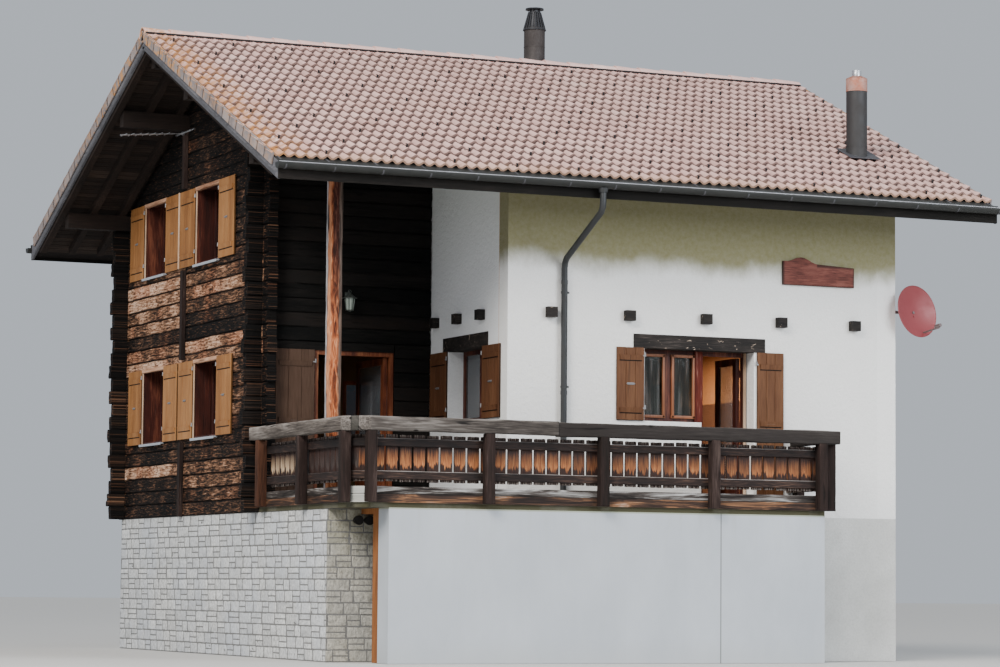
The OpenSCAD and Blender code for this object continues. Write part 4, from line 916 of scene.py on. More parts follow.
def buildWallFinishes():
    olive = (0.235, 0.218, 0.105)
    roomWall("frontRoomWall", (0.93, 0.925, 0.91), {
        "axis": "y", "inside": (-4.235, -4.230), "headAt": (-4.520, -4.24, "x", -0.4),
        "upperDarkeningOver": (5.22, 5.62), "upperDarkening": olive})
    roomWall("rightRoomWall", (0.93, 0.925, 0.91), {
        "axis": "x", "inside": (4.010, 4.005), "corner": olive, "upperDarkeningOver": (7.2, 8.6),
        "upperDarkening": (0.40, 0.40, 0.36)})
    roomWall("backRoomWall", (0.90, 0.90, 0.89), {
        "axis": "y", "inside": (4.235, 4.230), "dusk": 2.3, "upperDarkeningOver": (5.5, 6.1),
        "upperDarkening": (0.38, 0.37, 0.32)})
    # the darkening high on this wall is painted shade under the roof
    roomWall("loggiaRoomWall", (0.90, 0.915, 0.93), {
        "axis": "x", "inside": (-1.450, -1.445), "headAt": (-1.735, -1.46, "y", -4.1),
        "upperDarkeningOver": (4.9, 6.6), "upperDarkening": (0.72, 0.75, 0.73)})
    concreteFinish("cellarConcrete", (0.22, 0.215, 0.20), (0.36, 0.355, 0.34))
    concreteFinish("baseRender", (0.52, 0.52, 0.50), (0.68, 0.68, 0.66))


def dressNodes():
    # the CAD pieces that stay in view take the same finishes
    for finishName, nodes in (
            ("frontRoomWall", "front_wall_left front_wall_right front_wall_over"),
            ("rightRoomWall", "right_masonry_wall"), ("backRoomWall", "back_masonry_wall"),
            ("loggiaRoomWall", "loggia_masonry_wall"), ("cellarConcrete", "cellar_floor"),
            ("baseRender", "plain_base_wall"), ("skirtPanel", "terrace_skirt_wall"),
            ("slabConcrete", "terrace_slab"), ("floorTimber", "living_floor upper_floor"),
            ("chippedLintel", "floor_beams lintels"), ("jambTimber", "cellar_frame"),
            ("blackMetal", "terrace_vents"), ("redBrownTimber", "window_frames front_door_frame front_door"),
            ("loggiaDoorTimber", "loggia_door_frame loggia_door"),
            ("paneGlass", "window_glass loggia_door_glass front_door_glass"), ("purlinTimber", "purlins"),
            ("rafterTimber", "rafters"), ("soffitBoards", "roof_boards"), ("vergeTimber", "verge_boards"),
            ("eaveTimber", "eave_boards"), ("gutterMetal", "gutters"), ("postTimber", "gable_clamp"),
            ("antennaMetal", "antenna"), ("signBoard", "sign_board")):
        for node in nodes.split():
            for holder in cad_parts[node].material_slots:
                holder.material = mats[finishName]


buildLogFinishes()
buildTimbers()
buildMetals()
buildWallFinishes()
railFinish("frontRailTimber", "x", (0.014, 0.011, 0.010), (0.075, 0.064, 0.057), (0.26, 0.235, 0.215))
railFinish("sideRailTimber", "y", (0.018, 0.014, 0.012), (0.115, 0.098, 0.086), (0.35, 0.315, 0.285))
for make in (lintelFinish, signFinish, tileFinish, vergeTileFinish, stoneFinish, mortarFinish, slabFinish,
             skirtFinish, glassFinish, infillFinish, fasciaFinish, stringerFinish, trunkFinish):
    make()
dressNodes()
print("stage: %d finishes, CAD nodes dressed" % len(mats))


# roof covering: one double-roll tile, laid in courses
def buildTiles():
    tile = {"rolls": 2, "rollDeep": 0.042, "thick": 0.024, "lap": 0.075, "lift": 0.034, "across": 36,
            "steps": 14, "edge": 0.004}
    wide = (tileLong - 2.0 * tile["edge"]) / tile["across"]
    long = gauge + tile["lap"]
    piece = fresh("grid", (wide, long, 1.0), x_subdivisions=tile["steps"], y_subdivisions=2, size=1.0)
    # each column of points is lifted into the double roll
    dips, tails = [], []
    for point in piece.data.vertices:
        turn = (point.co.x / wide + 0.5) * tile["rolls"] * 2.0 * math.pi
        tail = 0.5 - point.co.y / long
        point.co.z = tile["lift"] * (tail - 1.0) + 0.006 - tile["rollDeep"] * 0.5 * (1.0 - math.cos(turn))
        if tail < 0.3:
            point.co.z -= 0.004
        dips.append(0.5 - 0.5 * math.cos(turn))
        tails.append(tail)
    mark(piece, "dip", dips)
    mark(piece, "tail", tails)
    use(piece, "SOLIDIFY", thickness=tile["thick"], offset=-1.0)
    with editing(piece):
        pickFaces(piece, lambda middle, normal: normal.y > 0.9 or normal.z < -0.4 and middle.y > -0.3 * long)
        bpy.ops.mesh.delete(type="FACE")
    spots, tones = [], []
    for course in range(roof["courses"]):
        y = 0.5 * long - roof["clear"] - gauge * (course + 1) - 0.002
        for column in range(tile["across"]):
            x = tileLeft + tile["edge"] + wide * (column + 0.5)
            tilt = turned(dice.uniform(-0.010, 0.010), "Z") @ turned(dice.uniform(-0.006, 0.006), "Y")
            spots.append(moved(x, y, dice.uniform(-0.002, 0.003)) @ tilt)
            tones.append(around(0.5, 0.15))
    return onSlope(repeat(piece, spots, tones))


def buildVergeTiles():
    verge = {"deep": 0.150, "thick": 0.022, "out": 0.002}
    piece = block((verge["thick"], gauge + 0.03, verge["deep"]), bevel=0.004)
    with editing(piece):
        pickFaces(piece, lambda middle, normal: middle.y < -0.4 * gauge)
        bpy.ops.transform.resize(value=(1.0, 1.0, 1.06))
    inward = 0.5 * verge["thick"] - verge["out"]
    low = -0.5 * verge["deep"] - 0.010
    rows = [moved(x, -roof["clear"] - gauge * (course + 0.5), low) @ turned(-0.010, "X")
            for x in (tileLeft + inward, tileLeft + tileLong - inward) for course in range(roof["courses"])]
    return onSlope(repeat(piece, rows, [around(0.35, 0.2) for row in rows]))


def buildRidge():
    cap = {"long": 0.43, "step": 0.40, "radius": 0.132, "thick": 0.016, "over": 0.03, "low": 0.098}
    whole = roofLong + 2.0 * cap["over"]
    count = math.ceil(whole / cap["step"])
    step = (whole - cap["long"]) / (count - 1)
    piece = fresh("cylinder", vertices=28, radius=cap["radius"], depth=cap["long"], end_fill_type="NOTHING",
                  rotation=(0, math.pi / 2, 0))
    cutOff(piece, -0.035, clear_inner=True)
    with editing(piece):
        bpy.ops.mesh.normals_make_consistent(inside=False)
    for point in piece.data.vertices:
        share = point.co.x / cap["long"] + 0.5
        point.co.z *= 1.02 - 0.17 * share
        point.co.y *= 1.0 - 0.08 * share
    # the caps' lower edges are marked to take the tile finish's painted shade
    mark(piece, "tail", [0.6 if point.co.z > -0.01 else 0.26 for point in piece.data.vertices])
    use(piece, "SOLIDIFY", thickness=cap["thick"], offset=-1.0)
    start = roof["left"] - cap["over"] + cap["long"] / 2
    spots = [moved(start + number * step, roof["ridgeY"], roof["ridgeZ"] - cap["low"])
             @ turned(dice.uniform(-0.006, 0.006), "Y") for number in range(count)]
    return repeat(piece, spots, [around(0.75, 0.12) for spot in spots])


def buildSnowHooks():
    hook = {"wide": 0.026, "high": 0.064, "thick": 0.006, "rolls": 6, "rows": 10, "rowStep": 2, "waves": 72}
    strap = block((hook["wide"], 0.15, hook["thick"]), (0, 0.055, 0.006))
    stand = block((hook["wide"], hook["thick"], hook["high"]), (0, -0.020, 0.5 * hook["high"] + 0.004))
    nose = block((hook["wide"], 0.035, hook["thick"]), (0, -0.005, hook["high"] + 0.002))
    wave = tileLong / hook["waves"]
    spots = []
    for row in range(hook["rows"]):
        y = -roof["clear"] - gauge * (1.75 + hook["rowStep"] * row)
        shift = 2.0 + (hook["rolls"] // 2 if row % 2 else 0)
        for column in range(12):
            x = tileLeft + wave * (shift + hook["rolls"] * column)
            if x < roof["right"]:
                spots.append(moved(x, y, -0.022))
    return onSlope(repeat(joined("hook", strap, stand, nose), spots))


def bothSlopes(name, part, finishes, angle=0):
    # one piece from a part of the front slope and its copy over the ridge
    finish(name, [part, overRidge(part)], finishes, angle=angle)


tiles = buildTiles()
verges = buildVergeTiles()
backTiles = overRidge(tiles)
bothSlopes("vergeTiles", verges, "vergeTile")
finish("frontTileCourses", tiles, "clayTile", "front_tiles", 35)
finish("backTileCourses", backTiles, "clayTile", "back_tiles", 35)
finish("ridgeCaps", buildRidge(), "clayTile", "ridge_tiles")
hooks = buildSnowHooks()
backHooks = overRidge(hooks)
finish("frontSnowHooks", hooks, "blackMetal", angle=0)
finish("backSnowHooks", backHooks, "blackMetal", angle=0)
# black strip under the foot of the caps: painted shade where the caps overhang the tiles
capShadeStrip = onSlope(block((roofLong + 0.03, 0.032, 0.026), (roofMiddle, -0.146, -0.004), bevel=0.005))
bothSlopes("ridgeFiller", capShadeStrip, "blackMetal")
print("stage: tiles, ridge and snow hooks")


def buildRoofTrim():
    trim = {"board": 0.118, "boardGap": 0.004, "boardThick": 0.014, "bracketStep": 0.65, "bead": 0.009,
            "vergeHigh": 0.21}
    # close boards under the roof, parallel to the ridge, with a thin dark joint between two
    long = roofLong - 0.064
    board = block((long, trim["board"] - trim["boardGap"], trim["boardThick"]), bevel=0.003)
    slice(board, "x", [long * (k / 6.0 - 0.5) for k in range(1, 6)])
    spots = [moved(roofMiddle, -0.16 - trim["board"] * (number + 0.5), -roof["rafterAt"] + 0.001)
             for number in range(int((boardSlope - 0.20) / trim["board"]))]
    bothSlopes("soffitBoards", onSlope(repeat(board, spots)), "soffitBoards")

    # pressed metal strip along the foot of each verge board
    strip = block((0.040, boardSlope - 0.01, 0.045), (0, -0.5 * boardSlope, 0), bevel=0.004)
    low = -roof["boardAt"] - trim["vergeHigh"] + 0.028
    edges = onSlope(repeat(strip, [moved(x, 0, low) for x in (roof["left"] + 0.014, roof["right"] - 0.014)]))
    bothSlopes("vergeStrips", edges, "leadMetal")

    # gutter brackets and the rolled front bead
    gutterY = roof["ridgeY"] - 5.86
    boardFoot = 5.78 * math.tan(roof["pitch"]) + roof["boardAt"] / math.cos(roof["pitch"])
    gutterZ = roof["ridgeZ"] - boardFoot - 0.015
    strap = fresh("cylinder", vertices=32, radius=0.0835, depth=0.020, end_fill_type="NOTHING",
                  location=(0, gutterY, gutterZ), rotation=(0, math.pi / 2, 0))
    cutOff(strap, gutterZ - 0.030, clear_outer=True)
    use(strap, "SOLIDIFY", thickness=0.005, offset=-1.0)
    hanger = block((0.026, 0.155, 0.005), (0, gutterY + 0.002, gutterZ + 0.006))
    tongue = onSlope(block((0.026, 0.22, 0.005), (0, 0.14 - slopeLength, 0.012 - roof["boardAt"])))
    count = int(roofLong / trim["bracketStep"])
    step = (roofLong - 0.10) / count
    brackets = repeat(joined("bracket", strap, hanger, tongue),
                      [moved(roof["left"] + 0.05 + step * k, 0, 0) for k in range(count + 1)])
    bothSlopes("gutterBrackets", brackets, "leadMetal", 30)
    # the bead's lighter metal is a painted highlight
    bead = tube(trim["bead"], roofLong + 0.098, (roofMiddle, gutterY - 0.071, gutterZ + 0.001), "x", 10)
    bothSlopes("gutterBeads", bead, "beadMetal", 40)

    # metal flashing from under the tiles into the gutter
    sheet = block((roofLong - 0.01, 0.40, 0.006), (roofMiddle, 0.21 - slopeLength, 0.006 - roof["boardAt"]),
                  bevel=0.002)
    drop = block((roofLong + 0.02, 0.012, 0.05), (roofMiddle, gutterY + 0.072, gutterZ + 0.022), 0.003)
    bothSlopes("eaveFlashing", joined("flashing", onSlope(sheet), drop), "gutterMetal")


buildRoofTrim()
print("stage: soffit, verge strips and gutter brackets")


# log walls: every log cut into short lengths and hewn uneven, the joints sunk in
def hewnWall(node, along, face, inward):
    worn = {"step": 0.085, "rows": (0.022, 0.065, 0.11, 0.155, 0.186), "deep": 0.016, "proud": 0.003,
            "joint": 0.020, "end": 0.13}
    number = "xyz".index(along)
    side = 1 - number
    low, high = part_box(node)
    obj = copyNode(node)
    count = int((high[number] - low[number]) / worn["step"])
    slice(obj, along, [low[number] + worn["step"] * (k + 0.5 * (k % 2) * 0.4) for k in range(1, count)])
    rows = []
    for course in range(36):
        start = house["baseTop"] + course * house["logHigh"]
        rows += [start + row for row in worn["rows"] if low[2] + 0.01 < start + row < high[2] - 0.01]
    slice(obj, "z", rows)
    for point in obj.data.vertices:
        at = point.co
        course = math.floor((at.z - house["baseTop"]) / house["logHigh"] + 0.001)
        inCourse = (at.z - house["baseTop"]) - course * house["logHigh"]
        if abs(at[side] - face) < 0.035:
            run = at[number]
            bulge = noise.noise(Vector((run * 0.8, course * 3.1, 0.3)))
            axe = noise.noise(Vector((run * 9.0, at.z * 12.0, 4.0)))
            deep = worn["deep"] * (0.45 + 0.5 * bulge + 0.55 * axe)
            if inCourse < 0.012 or inCourse > 0.19:
                deep += worn["joint"] * (0.6 + 0.5 * noise.noise(Vector((run * 3.0, course, 1.0))))
            at[side] += inward * max(deep, -worn["proud"])
            if 0.01 < inCourse < 0.03 or inCourse > 0.18:
                at.z += 0.010 * noise.noise(Vector((run * 2.2, course * 1.7, 8.0)))
    # log ends past a corner are worn back and split
    for point in obj.data.vertices:
        at = point.co
        course = math.floor((at.z - house["baseTop"]) / house["logHigh"] + 0.5)
        for edge, way in ((low[number], 1.0), (high[number], -1.0)):
            past = abs(at[number] - edge)
            if past < worn["end"] and edge != house["logRight"]:
                pull = 0.5 + 0.5 * noise.noise(Vector((course * 1.9, edge, 2.0)))
                crack = noise.noise(Vector((at[side] * 30.0, at.z * 22.0, course * 5.0)))
                at[number] += way * (0.030 * pull + 0.012 * max(crack, 0.0)) * (1.0 - past / worn["end"])
    obj.data.update()
    return obj


def buildLogWalls():
    sheltered = ("x", house["logFront"], 1.0, "shelteredLogs cornerLogs")
    for node, name, along, face, inward, logs in (
            ("gable_log_wall", "gableLogs", "y", house["left"], 1.0, "gableLogs"),
            ("loggia_log_wall_left", "loggiaLogsLeft", *sheltered),
            ("loggia_log_wall_right", "loggiaLogsRight", *sheltered),
            ("loggia_log_wall_over", "loggiaLogsOver", *sheltered),
            ("back_log_wall", "backLogs", "x", house["back"], -1.0, "backLogs cornerLogs")):
        wall = finish(name, hewnWall(node, along, face, inward), logs, node, 28)
        # the log ends past the gable face take the second finish
        if " " in logs:
            secondFinish(wall, lambda at: at.x < house["left"] - 0.002)


buildLogWalls()
print("stage: hewn log walls")


# terrace railing
def buildRailing():
    rail = {"line": 0.095, "postWide": 0.13, "stringer": 0.04, "stringerHigh": 0.105, "upperTop": 2.890,
            "lowerTop": 2.47, "board": 0.165, "gap": 0.025, "thick": 0.024, "low": 2.332, "high": 2.942,
            "right": 2.565, "jointAt": -1.514, "seamAt": 2.174}
    left = house["left"]
    front = house["terraceFront"]
    cut = house["cut"]
    out = rail["line"] - 0.5 * rail["postWide"]

    # hand rail beam with rounded edges, a step at its joint and worn faces
    beam = copyNode("terrace_hand_rails")
    use(beam, "BEVEL", width=0.016, segments=2, angle_limit=math.radians(40))
    slice(beam, "x", [rail["jointAt"] - 0.006, rail["jointAt"] + 0.006])
    slice(beam, "x", [-4.0 + 0.11 * k for k in range(62)])
    slice(beam, "y", [-5.2 + 0.11 * k for k in range(30)])
    for point in beam.data.vertices:
        if point.co.x > rail["jointAt"] and point.co.y < -5.3:
            point.co += Vector((0.0, 0.009, -0.011))
    roughen(beam, 0.006, 3.5, 0.0022)
    finish("handRailBeam", beam, "frontRailTimber sideRailTimber", "terrace_hand_rails", 35)
    secondFinish(beam, lambda at: at.y > -5.385 and at.x < -4.0)

    # posts, planed and split along the grain
    posts = copyNode("terrace_posts")
    use(posts, "BEVEL", width=0.009, segments=2, angle_limit=math.radians(40))
    slice(posts, "z", [2.08 + 0.085 * k for k in range(11)])
    roughen(posts, 0.0035, 7.0, 0.0012)
    finish("railingPosts", posts, "postTimber wallPostTimber", "terrace_posts", 35)
    secondFinish(posts, lambda at: at.y > -2.75 and at.x < -4.0)

    # two long boards round the terrace
    runs = []
    deep, tall = rail["stringer"], rail["stringerHigh"]
    middle = out - 0.5 * deep
    frontLong = rail["right"] - left - cut + 0.03
    sideLong = -2.15 - (front + cut)
    back = house["front"] - front
    skewed = 0.5 * cut - math.sqrt(0.5) * middle + 0.004
    for top in (rail["upperTop"], rail["lowerTop"]):
        z = top - 0.5 * tall
        across = 0.5 * (rail["right"] + left + cut) + 0.012
        ahead = block((frontLong, deep, tall), (across, front - middle, z), 0.005)
        beside = block((deep, sideLong, tall), (left - middle, front + cut + 0.5 * sideLong, z), 0.005)
        skew = block((math.hypot(cut, cut) + 0.012, deep, tall), bevel=0.005)
        skew.data.transform(moved(left + skewed, front + skewed, z) @ turned(-math.pi / 4, "Z"))
        behind = block((deep, back, tall), (rail["right"] + middle, front + 0.5 * back - 0.01, z), 0.005)
        slice(ahead, "x", [left + cut + 0.25 * k for k in range(1, 27)])
        slice(beside, "y", [front + cut + 0.25 * k for k in range(1, 13)])
        runs += [ahead, beside, skew, behind]
    boards = joined("longBoards", *runs)
    roughen(boards, 0.003, 5.0, 0.001)
    finish("longBoards", boards, "charredStringer", "terrace_infill", 35)

    # one short board with ragged ends, copied along the terrace
    high = rail["high"] - rail["low"]
    piece = block((rail["board"], rail["thick"], high), bevel=0.004)
    slice(piece, "x", [-0.05, -0.018, 0.016, 0.05])
    slice(piece, "z", [-0.28, -0.2, -0.1, 0.0, 0.1, 0.2, 0.28])
    for point in piece.data.vertices:
        at = point.co
        if abs(at.z) > 0.29:
            at.z -= math.copysign(0.004 * abs(math.sin(at.x * 61.0)), at.z)
        at.x *= 1.0 - 0.10 * (abs(at.z) / 0.5 * high) ** 2
    mark(piece, "across", [2.0 * point.co.x / rail["board"] for point in piece.data.vertices])
    middle = out - rail["stringer"] - 0.5 * rail["thick"]
    z = 0.5 * (rail["low"] + rail["high"])
    step = rail["board"] + rail["gap"]
    spots, tones = [], []
    x = left + cut + rail["gap"] + 0.5 * rail["board"]
    while x < rail["right"] - 0.02:
        tilt = turned(dice.uniform(-0.008, 0.008), "Y")
        spots.append(moved(x, front - middle, z + dice.uniform(-0.006, 0.003)) @ tilt)
        tones.append(dice.uniform(0.55, 1.0) if x < -2.55 else dice.uniform(0.0, 0.62))
        x += step
    y = front + cut + rail["gap"] + 0.5 * rail["board"]
    while y < -2.25:
        spots.append(moved(left - middle, y, z + dice.uniform(-0.006, 0.003)) @ turned(-math.pi / 2, "Z"))
        tones.append(dice.uniform(0.65, 1.0) if y > -3.8 else dice.uniform(0.0, 0.15))
        y += step
    turn = turned(-math.pi / 4, "Z") @ Matrix.Scale(0.78, 4, (1, 0, 0))
    inset = math.sqrt(0.5) * middle
    for share in (0.27, 0.73):
        spots.append(moved(left + cut * share - inset, front + cut * (1 - share) - inset, z) @ turn)
        tones.append(0.35)
    y = front + 0.10 + 0.5 * rail["board"]
    while y < house["front"] - 0.06:
        spots.append(moved(rail["right"] + middle, y, z) @ turned(math.pi / 2, "Z"))
        tones.append(dice.random())
        y += step
    finish("railingBoards", repeat(piece, spots, tones), "scorchedBoards", angle=35)

    # edge boards: two lengths, one over the other
    edge = copyNode("terrace_fascia")
    slice(edge, "x", [-4.0 + 0.2 * k for k in range(34)])
    slice(edge, "y", [-5.2 + 0.2 * k for k in range(17)])
    slice(edge, "z", [rail["seamAt"] + shift for shift in (-0.006, 0.0, 0.006)])
    for point in edge.data.vertices:
        if abs(point.co.z - rail["seamAt"]) < 0.002:
            point.co.x += 0.008 if point.co.x < left - 0.01 else 0.0
            point.co.y += 0.008 if point.co.y < front - 0.01 else 0.0
    roughen(edge, 0.0025, 3.0)
    finish("edgeBoards", edge, "smokyFascia", "terrace_fascia", 30)


buildRailing()
print("stage: terrace railing")


# split stone facing of the basement: courses of full and half-high stones over a sunk bed of mortar
def buildStoneFacing():
    stone = {"courses": 13, "joint": 0.012, "deep": 0.030, "sink": 0.006, "unit": 0.70,
             "kinds": (((0.27, 0), (0.19, 1), (0.24, 0)), ((0.38, 0), (0.32, 1)),
                       ((0.17, 0), (0.30, 0), (0.23, 1)), ((0.22, 1), (0.26, 0), (0.22, 0)))}
    high = house["baseTop"] / stone["courses"]
    bed = copyNode("stone_base_wall")
    with editing(bed):
        for test, way in (
                (lambda middle, normal: normal.x < -0.9, (1, 0, 0)),
                (lambda middle, normal: normal.y < -0.9 and middle.y < house["front"] + 0.02, (0, 1, 0)),
                (lambda middle, normal: normal.y > 0.9 and middle.y > house["back"] - 0.02, (0, -1, 0))):
            pickFaces(bed, test)
            bpy.ops.transform.translate(value=tuple(stone["sink"] * v for v in way))
    finish("mortarBed", bed, "mortarBed", "stone_base_wall", 0)

    # one pillowed stone, a metre each way and thin, its face at y = 0
    piece = block((1.0, stone["deep"], 1.0), (0.5, 0.5 * stone["deep"], 0.5))
    slice(piece, "x", [0.04, 0.28, 0.5, 0.72, 0.96])
    slice(piece, "z", [0.07, 0.5, 0.93])
    for point in piece.data.vertices:
        at = point.co
        if at.y < 0.001:
            rim = min(at.x, 1.0 - at.x, at.z, 1.0 - at.z)
            at.y = 0.007 if rim < 0.01 else 0.0
    spots, tones = [], []

    def layCourse(kind, level, end, upright, corner, turn, start=0.0, stretch=1.0):
        # stones from start to end along a wall that begins at corner and runs the way of turn
        run = start - stone["unit"] * stretch * ((kind * 0.37) % 1.0)
        wall = moved(*corner, level * high) @ turn
        while run < end:
            for long, half in stone["kinds"][(kind * 3) % 4]:
                a = max(run, start)
                b = min(run + long * stretch, end)
                run += long * stretch
                if b - a < 0.04:
                    continue
                tall = high / 2 if half else high
                size = Matrix.Diagonal((b - a - upright, 1.0, tall - stone["joint"], 1.0))
                for part in range(2 if half else 1):
                    corner = moved(a + 0.5 * upright, 0.0, part * tall + 0.5 * stone["joint"])
                    spots.append(wall @ corner @ size)
                    tones.append(around(0.5, 0.22))

    ahead = Matrix.Identity(4)
    for course in range(stone["courses"]):
        layCourse(course, course, -house["front"], 0.024, (house["left"], 0.0), turned(-math.pi / 2, "Z"),
                  -house["back"], 1.36)
        layCourse(course + 5, course, 0.66, stone["joint"], (house["left"], house["front"]), ahead)
        layCourse(course + 2, course, 0.30, stone["joint"], (house["left"] + 0.30, house["back"]),
                  turned(math.pi, "Z"))
    facing = repeat(piece, spots, tones)
    for point in facing.data.vertices:
        at = point.co
        lump = noise.noise(at * 13.0) * 0.006 + noise.noise(at * 31.0) * 0.004
        if at.x < house["left"] + 0.012 and house["front"] + 0.01 < at.y < house["back"] - 0.01:
            at.x += lump + 0.002
        elif at.y < house["front"] + 0.012:
            at.y += lump + 0.002
    finish("stoneFacing", facing, "splitStone", angle=30)


buildStoneFacing()
print("stage: stone facing")


# places on the walls, seen from outside: x across, y inwards, z up
def onWall(wall, across, z):
    spot = {"gable": ((house["left"], across, z), -90), "side": ((house["logRight"], across, z), -90),
            "front": ((across, house["front"], z), 0), "log": ((across, house["logFront"], z), 0),
            "right": ((house["right"], across, z), 90), "back": ((across, house["back"], z), 180)}[wall]
    return moved(*spot[0]) @ turned(math.radians(spot[1]), "Z")


windows = {
    "gable": [("gable", y + 0.53, z, 1.06, 1.15) for y in (0.51, 2.98) for z in (3.13, 5.69)],
    "right": [("right", y - 0.53, z, 1.06, 1.15) for y in (-2.1, 2.1) for z in (3.13, 5.69)],
    "back": [("back", x + 0.53, 3.28, 1.06, 1.0) for x in (-0.2, 2.5)],
    "side": [("side", -2.495, 3.28, 1.22, 1.0)],
}


# one shutter: three upright boards and ledges with sloped undersides; the bolt and hinge pins come from
# buildShutterIron
def buildShutter(wide, high, ledges, name):
    part = {"thick": 0.030, "board": 3, "groove": 0.004, "ledge": 0.070, "ledgeOut": 0.024, "ledgeIn": 0.040}
    thick, ledgeWide = part["thick"], wide - 2 * part["ledgeIn"]
    each = wide / part["board"]
    middle = -0.5 * thick - 0.001
    pieces = [block((each - part["groove"], thick, high), (each * (number + 0.5), middle, 0.5 * high), 0.005)
              for number in range(part["board"])]
    for share in ledges:
        ledge = block((ledgeWide, part["ledgeOut"], part["ledge"]),
                      (0.5 * wide, -thick - 0.5 * part["ledgeOut"], share * high))
        # thin strip under each ledge, marked as shade below: a painted shadow
        pieces.append(block((ledgeWide, 0.003, 0.016),
                            (0.5 * wide, -thick - 0.001, share * high - 0.5 * part["ledge"] - 0.007)))
        with editing(ledge):
            pickFaces(ledge, lambda middle, normal: normal.z < -0.9)
            bpy.ops.transform.resize(value=(0.955, 0.5, 1.0))
            bpy.ops.transform.translate(value=(0, 0.006, 0))
            pickFaces(ledge, lambda middle, normal: normal.z > 0.9)
            bpy.ops.transform.resize(value=(0.985, 0.8, 1.0))
        pieces.append(ledge)
    whole = joined(name, *pieces)
    # painted shade: faces that look down and the strip under each ledge are marked fully dark, the outer side
    # edges of the leaf partly
    face = -thick - 0.0025
    mark(whole, "shade", [1.0 if f.normal.z < -0.5 or abs(f.center.y - face) < 0.001 else
                          0.8 if abs(f.normal.x) > 0.8 and not 0.01 < f.center.x < wide - 0.02 else 0.0
                          for f in whole.data.polygons], "FACE")
    return whole


def buildShutterIron(wide, high, ledges, hinge):
    # a short bolt on a plate in the middle, pins and straps on the hinge side
    plate = block((0.11, 0.004, 0.030), (0.5 * wide, -0.034, 0.5 * high), bevel=0.001)
    bar = tube(0.006, 0.13, (0.5 * wide, -0.041, 0.5 * high), "x", 8)
    pieces = [plate, bar]
    for share in (ledges[0], ledges[-1]):
        x = wide + 0.012 if hinge == "right" else -0.012
        pieces.append(tube(0.013, 0.055, (x, -0.030, share * high + 0.045), "z", 10, topRadius=0.010))
        inward = 0.01 if hinge == "left" else -0.01
        pieces.append(block((0.03, 0.012, 0.018), (x * 0.98 + inward, -0.030, share * high + 0.03)))
    return joined("shutterIron", *pieces)


def buildShutters():
    shutter = {"gap": 0.015, "lit": (0.14, 0.86), "long": (0.09, 0.5, 0.9)}
    sizes = {}
    for group, wide in (("gable", 0.68), ("right", 0.68), ("back", 0.68), ("side", 0.59)):
        for wall, across, z, hole, high in windows[group]:
            place = onWall(wall, across, z)
            leaf = wide - 0.025 if group == "gable" and z < 5.0 else wide
            for x, hinge in ((-shutter["gap"] - leaf, "right"), (hole + shutter["gap"], "left")):
                sizes.setdefault((leaf, high, hinge, group), []).append(place @ moved(x, 0, 0))
    woods, irons, deepShadeLeaves = {}, [], []
    for (wide, high, hinge, group), spots in sizes.items():
        wood = buildShutter(wide, high, shutter["lit"], "shutter")
        tones = [dice.uniform(0.2, 0.8) for spot in spots]
        woods.setdefault("lit" if group == "gable" else "shade", []).append(repeat(wood, spots, tones))
        irons.append(repeat(buildShutterIron(wide, high, shutter["lit"], hinge), spots))
    for wide, high, x, wall, z, hinge, ledges in (
            (0.42, 1.0, 0.32 - 0.435, "front", 3.28, "right", shutter["lit"]),
            (0.42, 1.99, 0.32 + 1.74, "front", 2.29, "left", shutter["long"]),
            (0.58, 1.99, -3.5 - 0.595, "log", 2.29, "right", shutter["long"])):
        place = onWall(wall, x, z)
        group = deepShadeLeaves if wall == "log" else woods["shade"]
        group.append(repeat(buildShutter(wide, high, ledges, "shutter"), [place], [0.5]))
        irons.append(repeat(buildShutterIron(wide, high, ledges, hinge), [place]))
    # painted shade: the leaves off the gable take the shaded copy, the leaf under the covered corner the
    # deeper one
    finish("wallShutters", woods["shade"], "shadedShutterTimber", "shutters", 0)
    finish("gableShutters", woods["lit"], "shutterTimber", angle=0)
    finish("loggiaShutter", deepShadeLeaves, "duskyShutterTimber", angle=0)
    finish("shutterIron", irons, "shutterIron", angle=30)
    # cover strip where the two upper shutters meet
    strip = block((0.022, 0.030, 1.15), (house["left"] - 0.042, 1.745, 5.69 + 0.575), bevel=0.004)
    finish("shutterCoverStrip", strip, "paleStripTimber", angle=0)


def buildWindowTrim():
    trim = {"casing": 0.020, "proud": 0.016, "head": 0.055}
    casings, heads, sills, sashes = [], [], [], []
    for wall, across, z, wide, high in windows["gable"]:
        place = onWall(wall, across, z)
        sides = [block((trim["casing"], 0.05, high), (x, 0.025 - trim["proud"], 0.5 * high), bevel=0.003)
                 for x in (0.5 * trim["casing"] + 0.002, wide - 0.5 * trim["casing"] - 0.002)]
        casings.append(repeat(joined("casing", *sides), [place]))
        head = block((wide + 0.03, 0.06, trim["head"]),
                     (0.5 * wide, 0.022 - trim["proud"], high - 0.35 * trim["head"]), bevel=0.004)
        heads.append(repeat(head, [place]))
        # inner sash stiles
        inner = [block((0.045, 0.03, high - 0.10), (x, 0.275, 0.5 * high), bevel=0.004)
                 for x in (0.058, 0.5 * wide - 0.028, 0.5 * wide + 0.028, wide - 0.058)]
        sashes.append(repeat(joined("sash", *inner), [place]))
    for group in windows:
        for wall, across, z, wide, high in windows[group]:
            board = block((wide, 0.20, 0.020), (0.5 * wide, 0.04, -0.010), bevel=0.003)
            lip = block((wide, 0.010, 0.035), (0.5 * wide, -0.052, -0.0175), bevel=0.003)
            slice(lip, "x", [wide * k / 12.0 for k in range(1, 12)])
            sills.append(repeat(joined("sill", board, lip), [onWall(wall, across, z)]))
    finish("gableCasings", casings, "paleStripTimber", angle=0)
    finish("gableHeadBoards", heads, "headBoardTimber", angle=0)
    finish("gableSashes", sashes, "redBrownTimber", angle=0)
    finish("windowSills", sills, "sillMetal", "window_sills", 0)


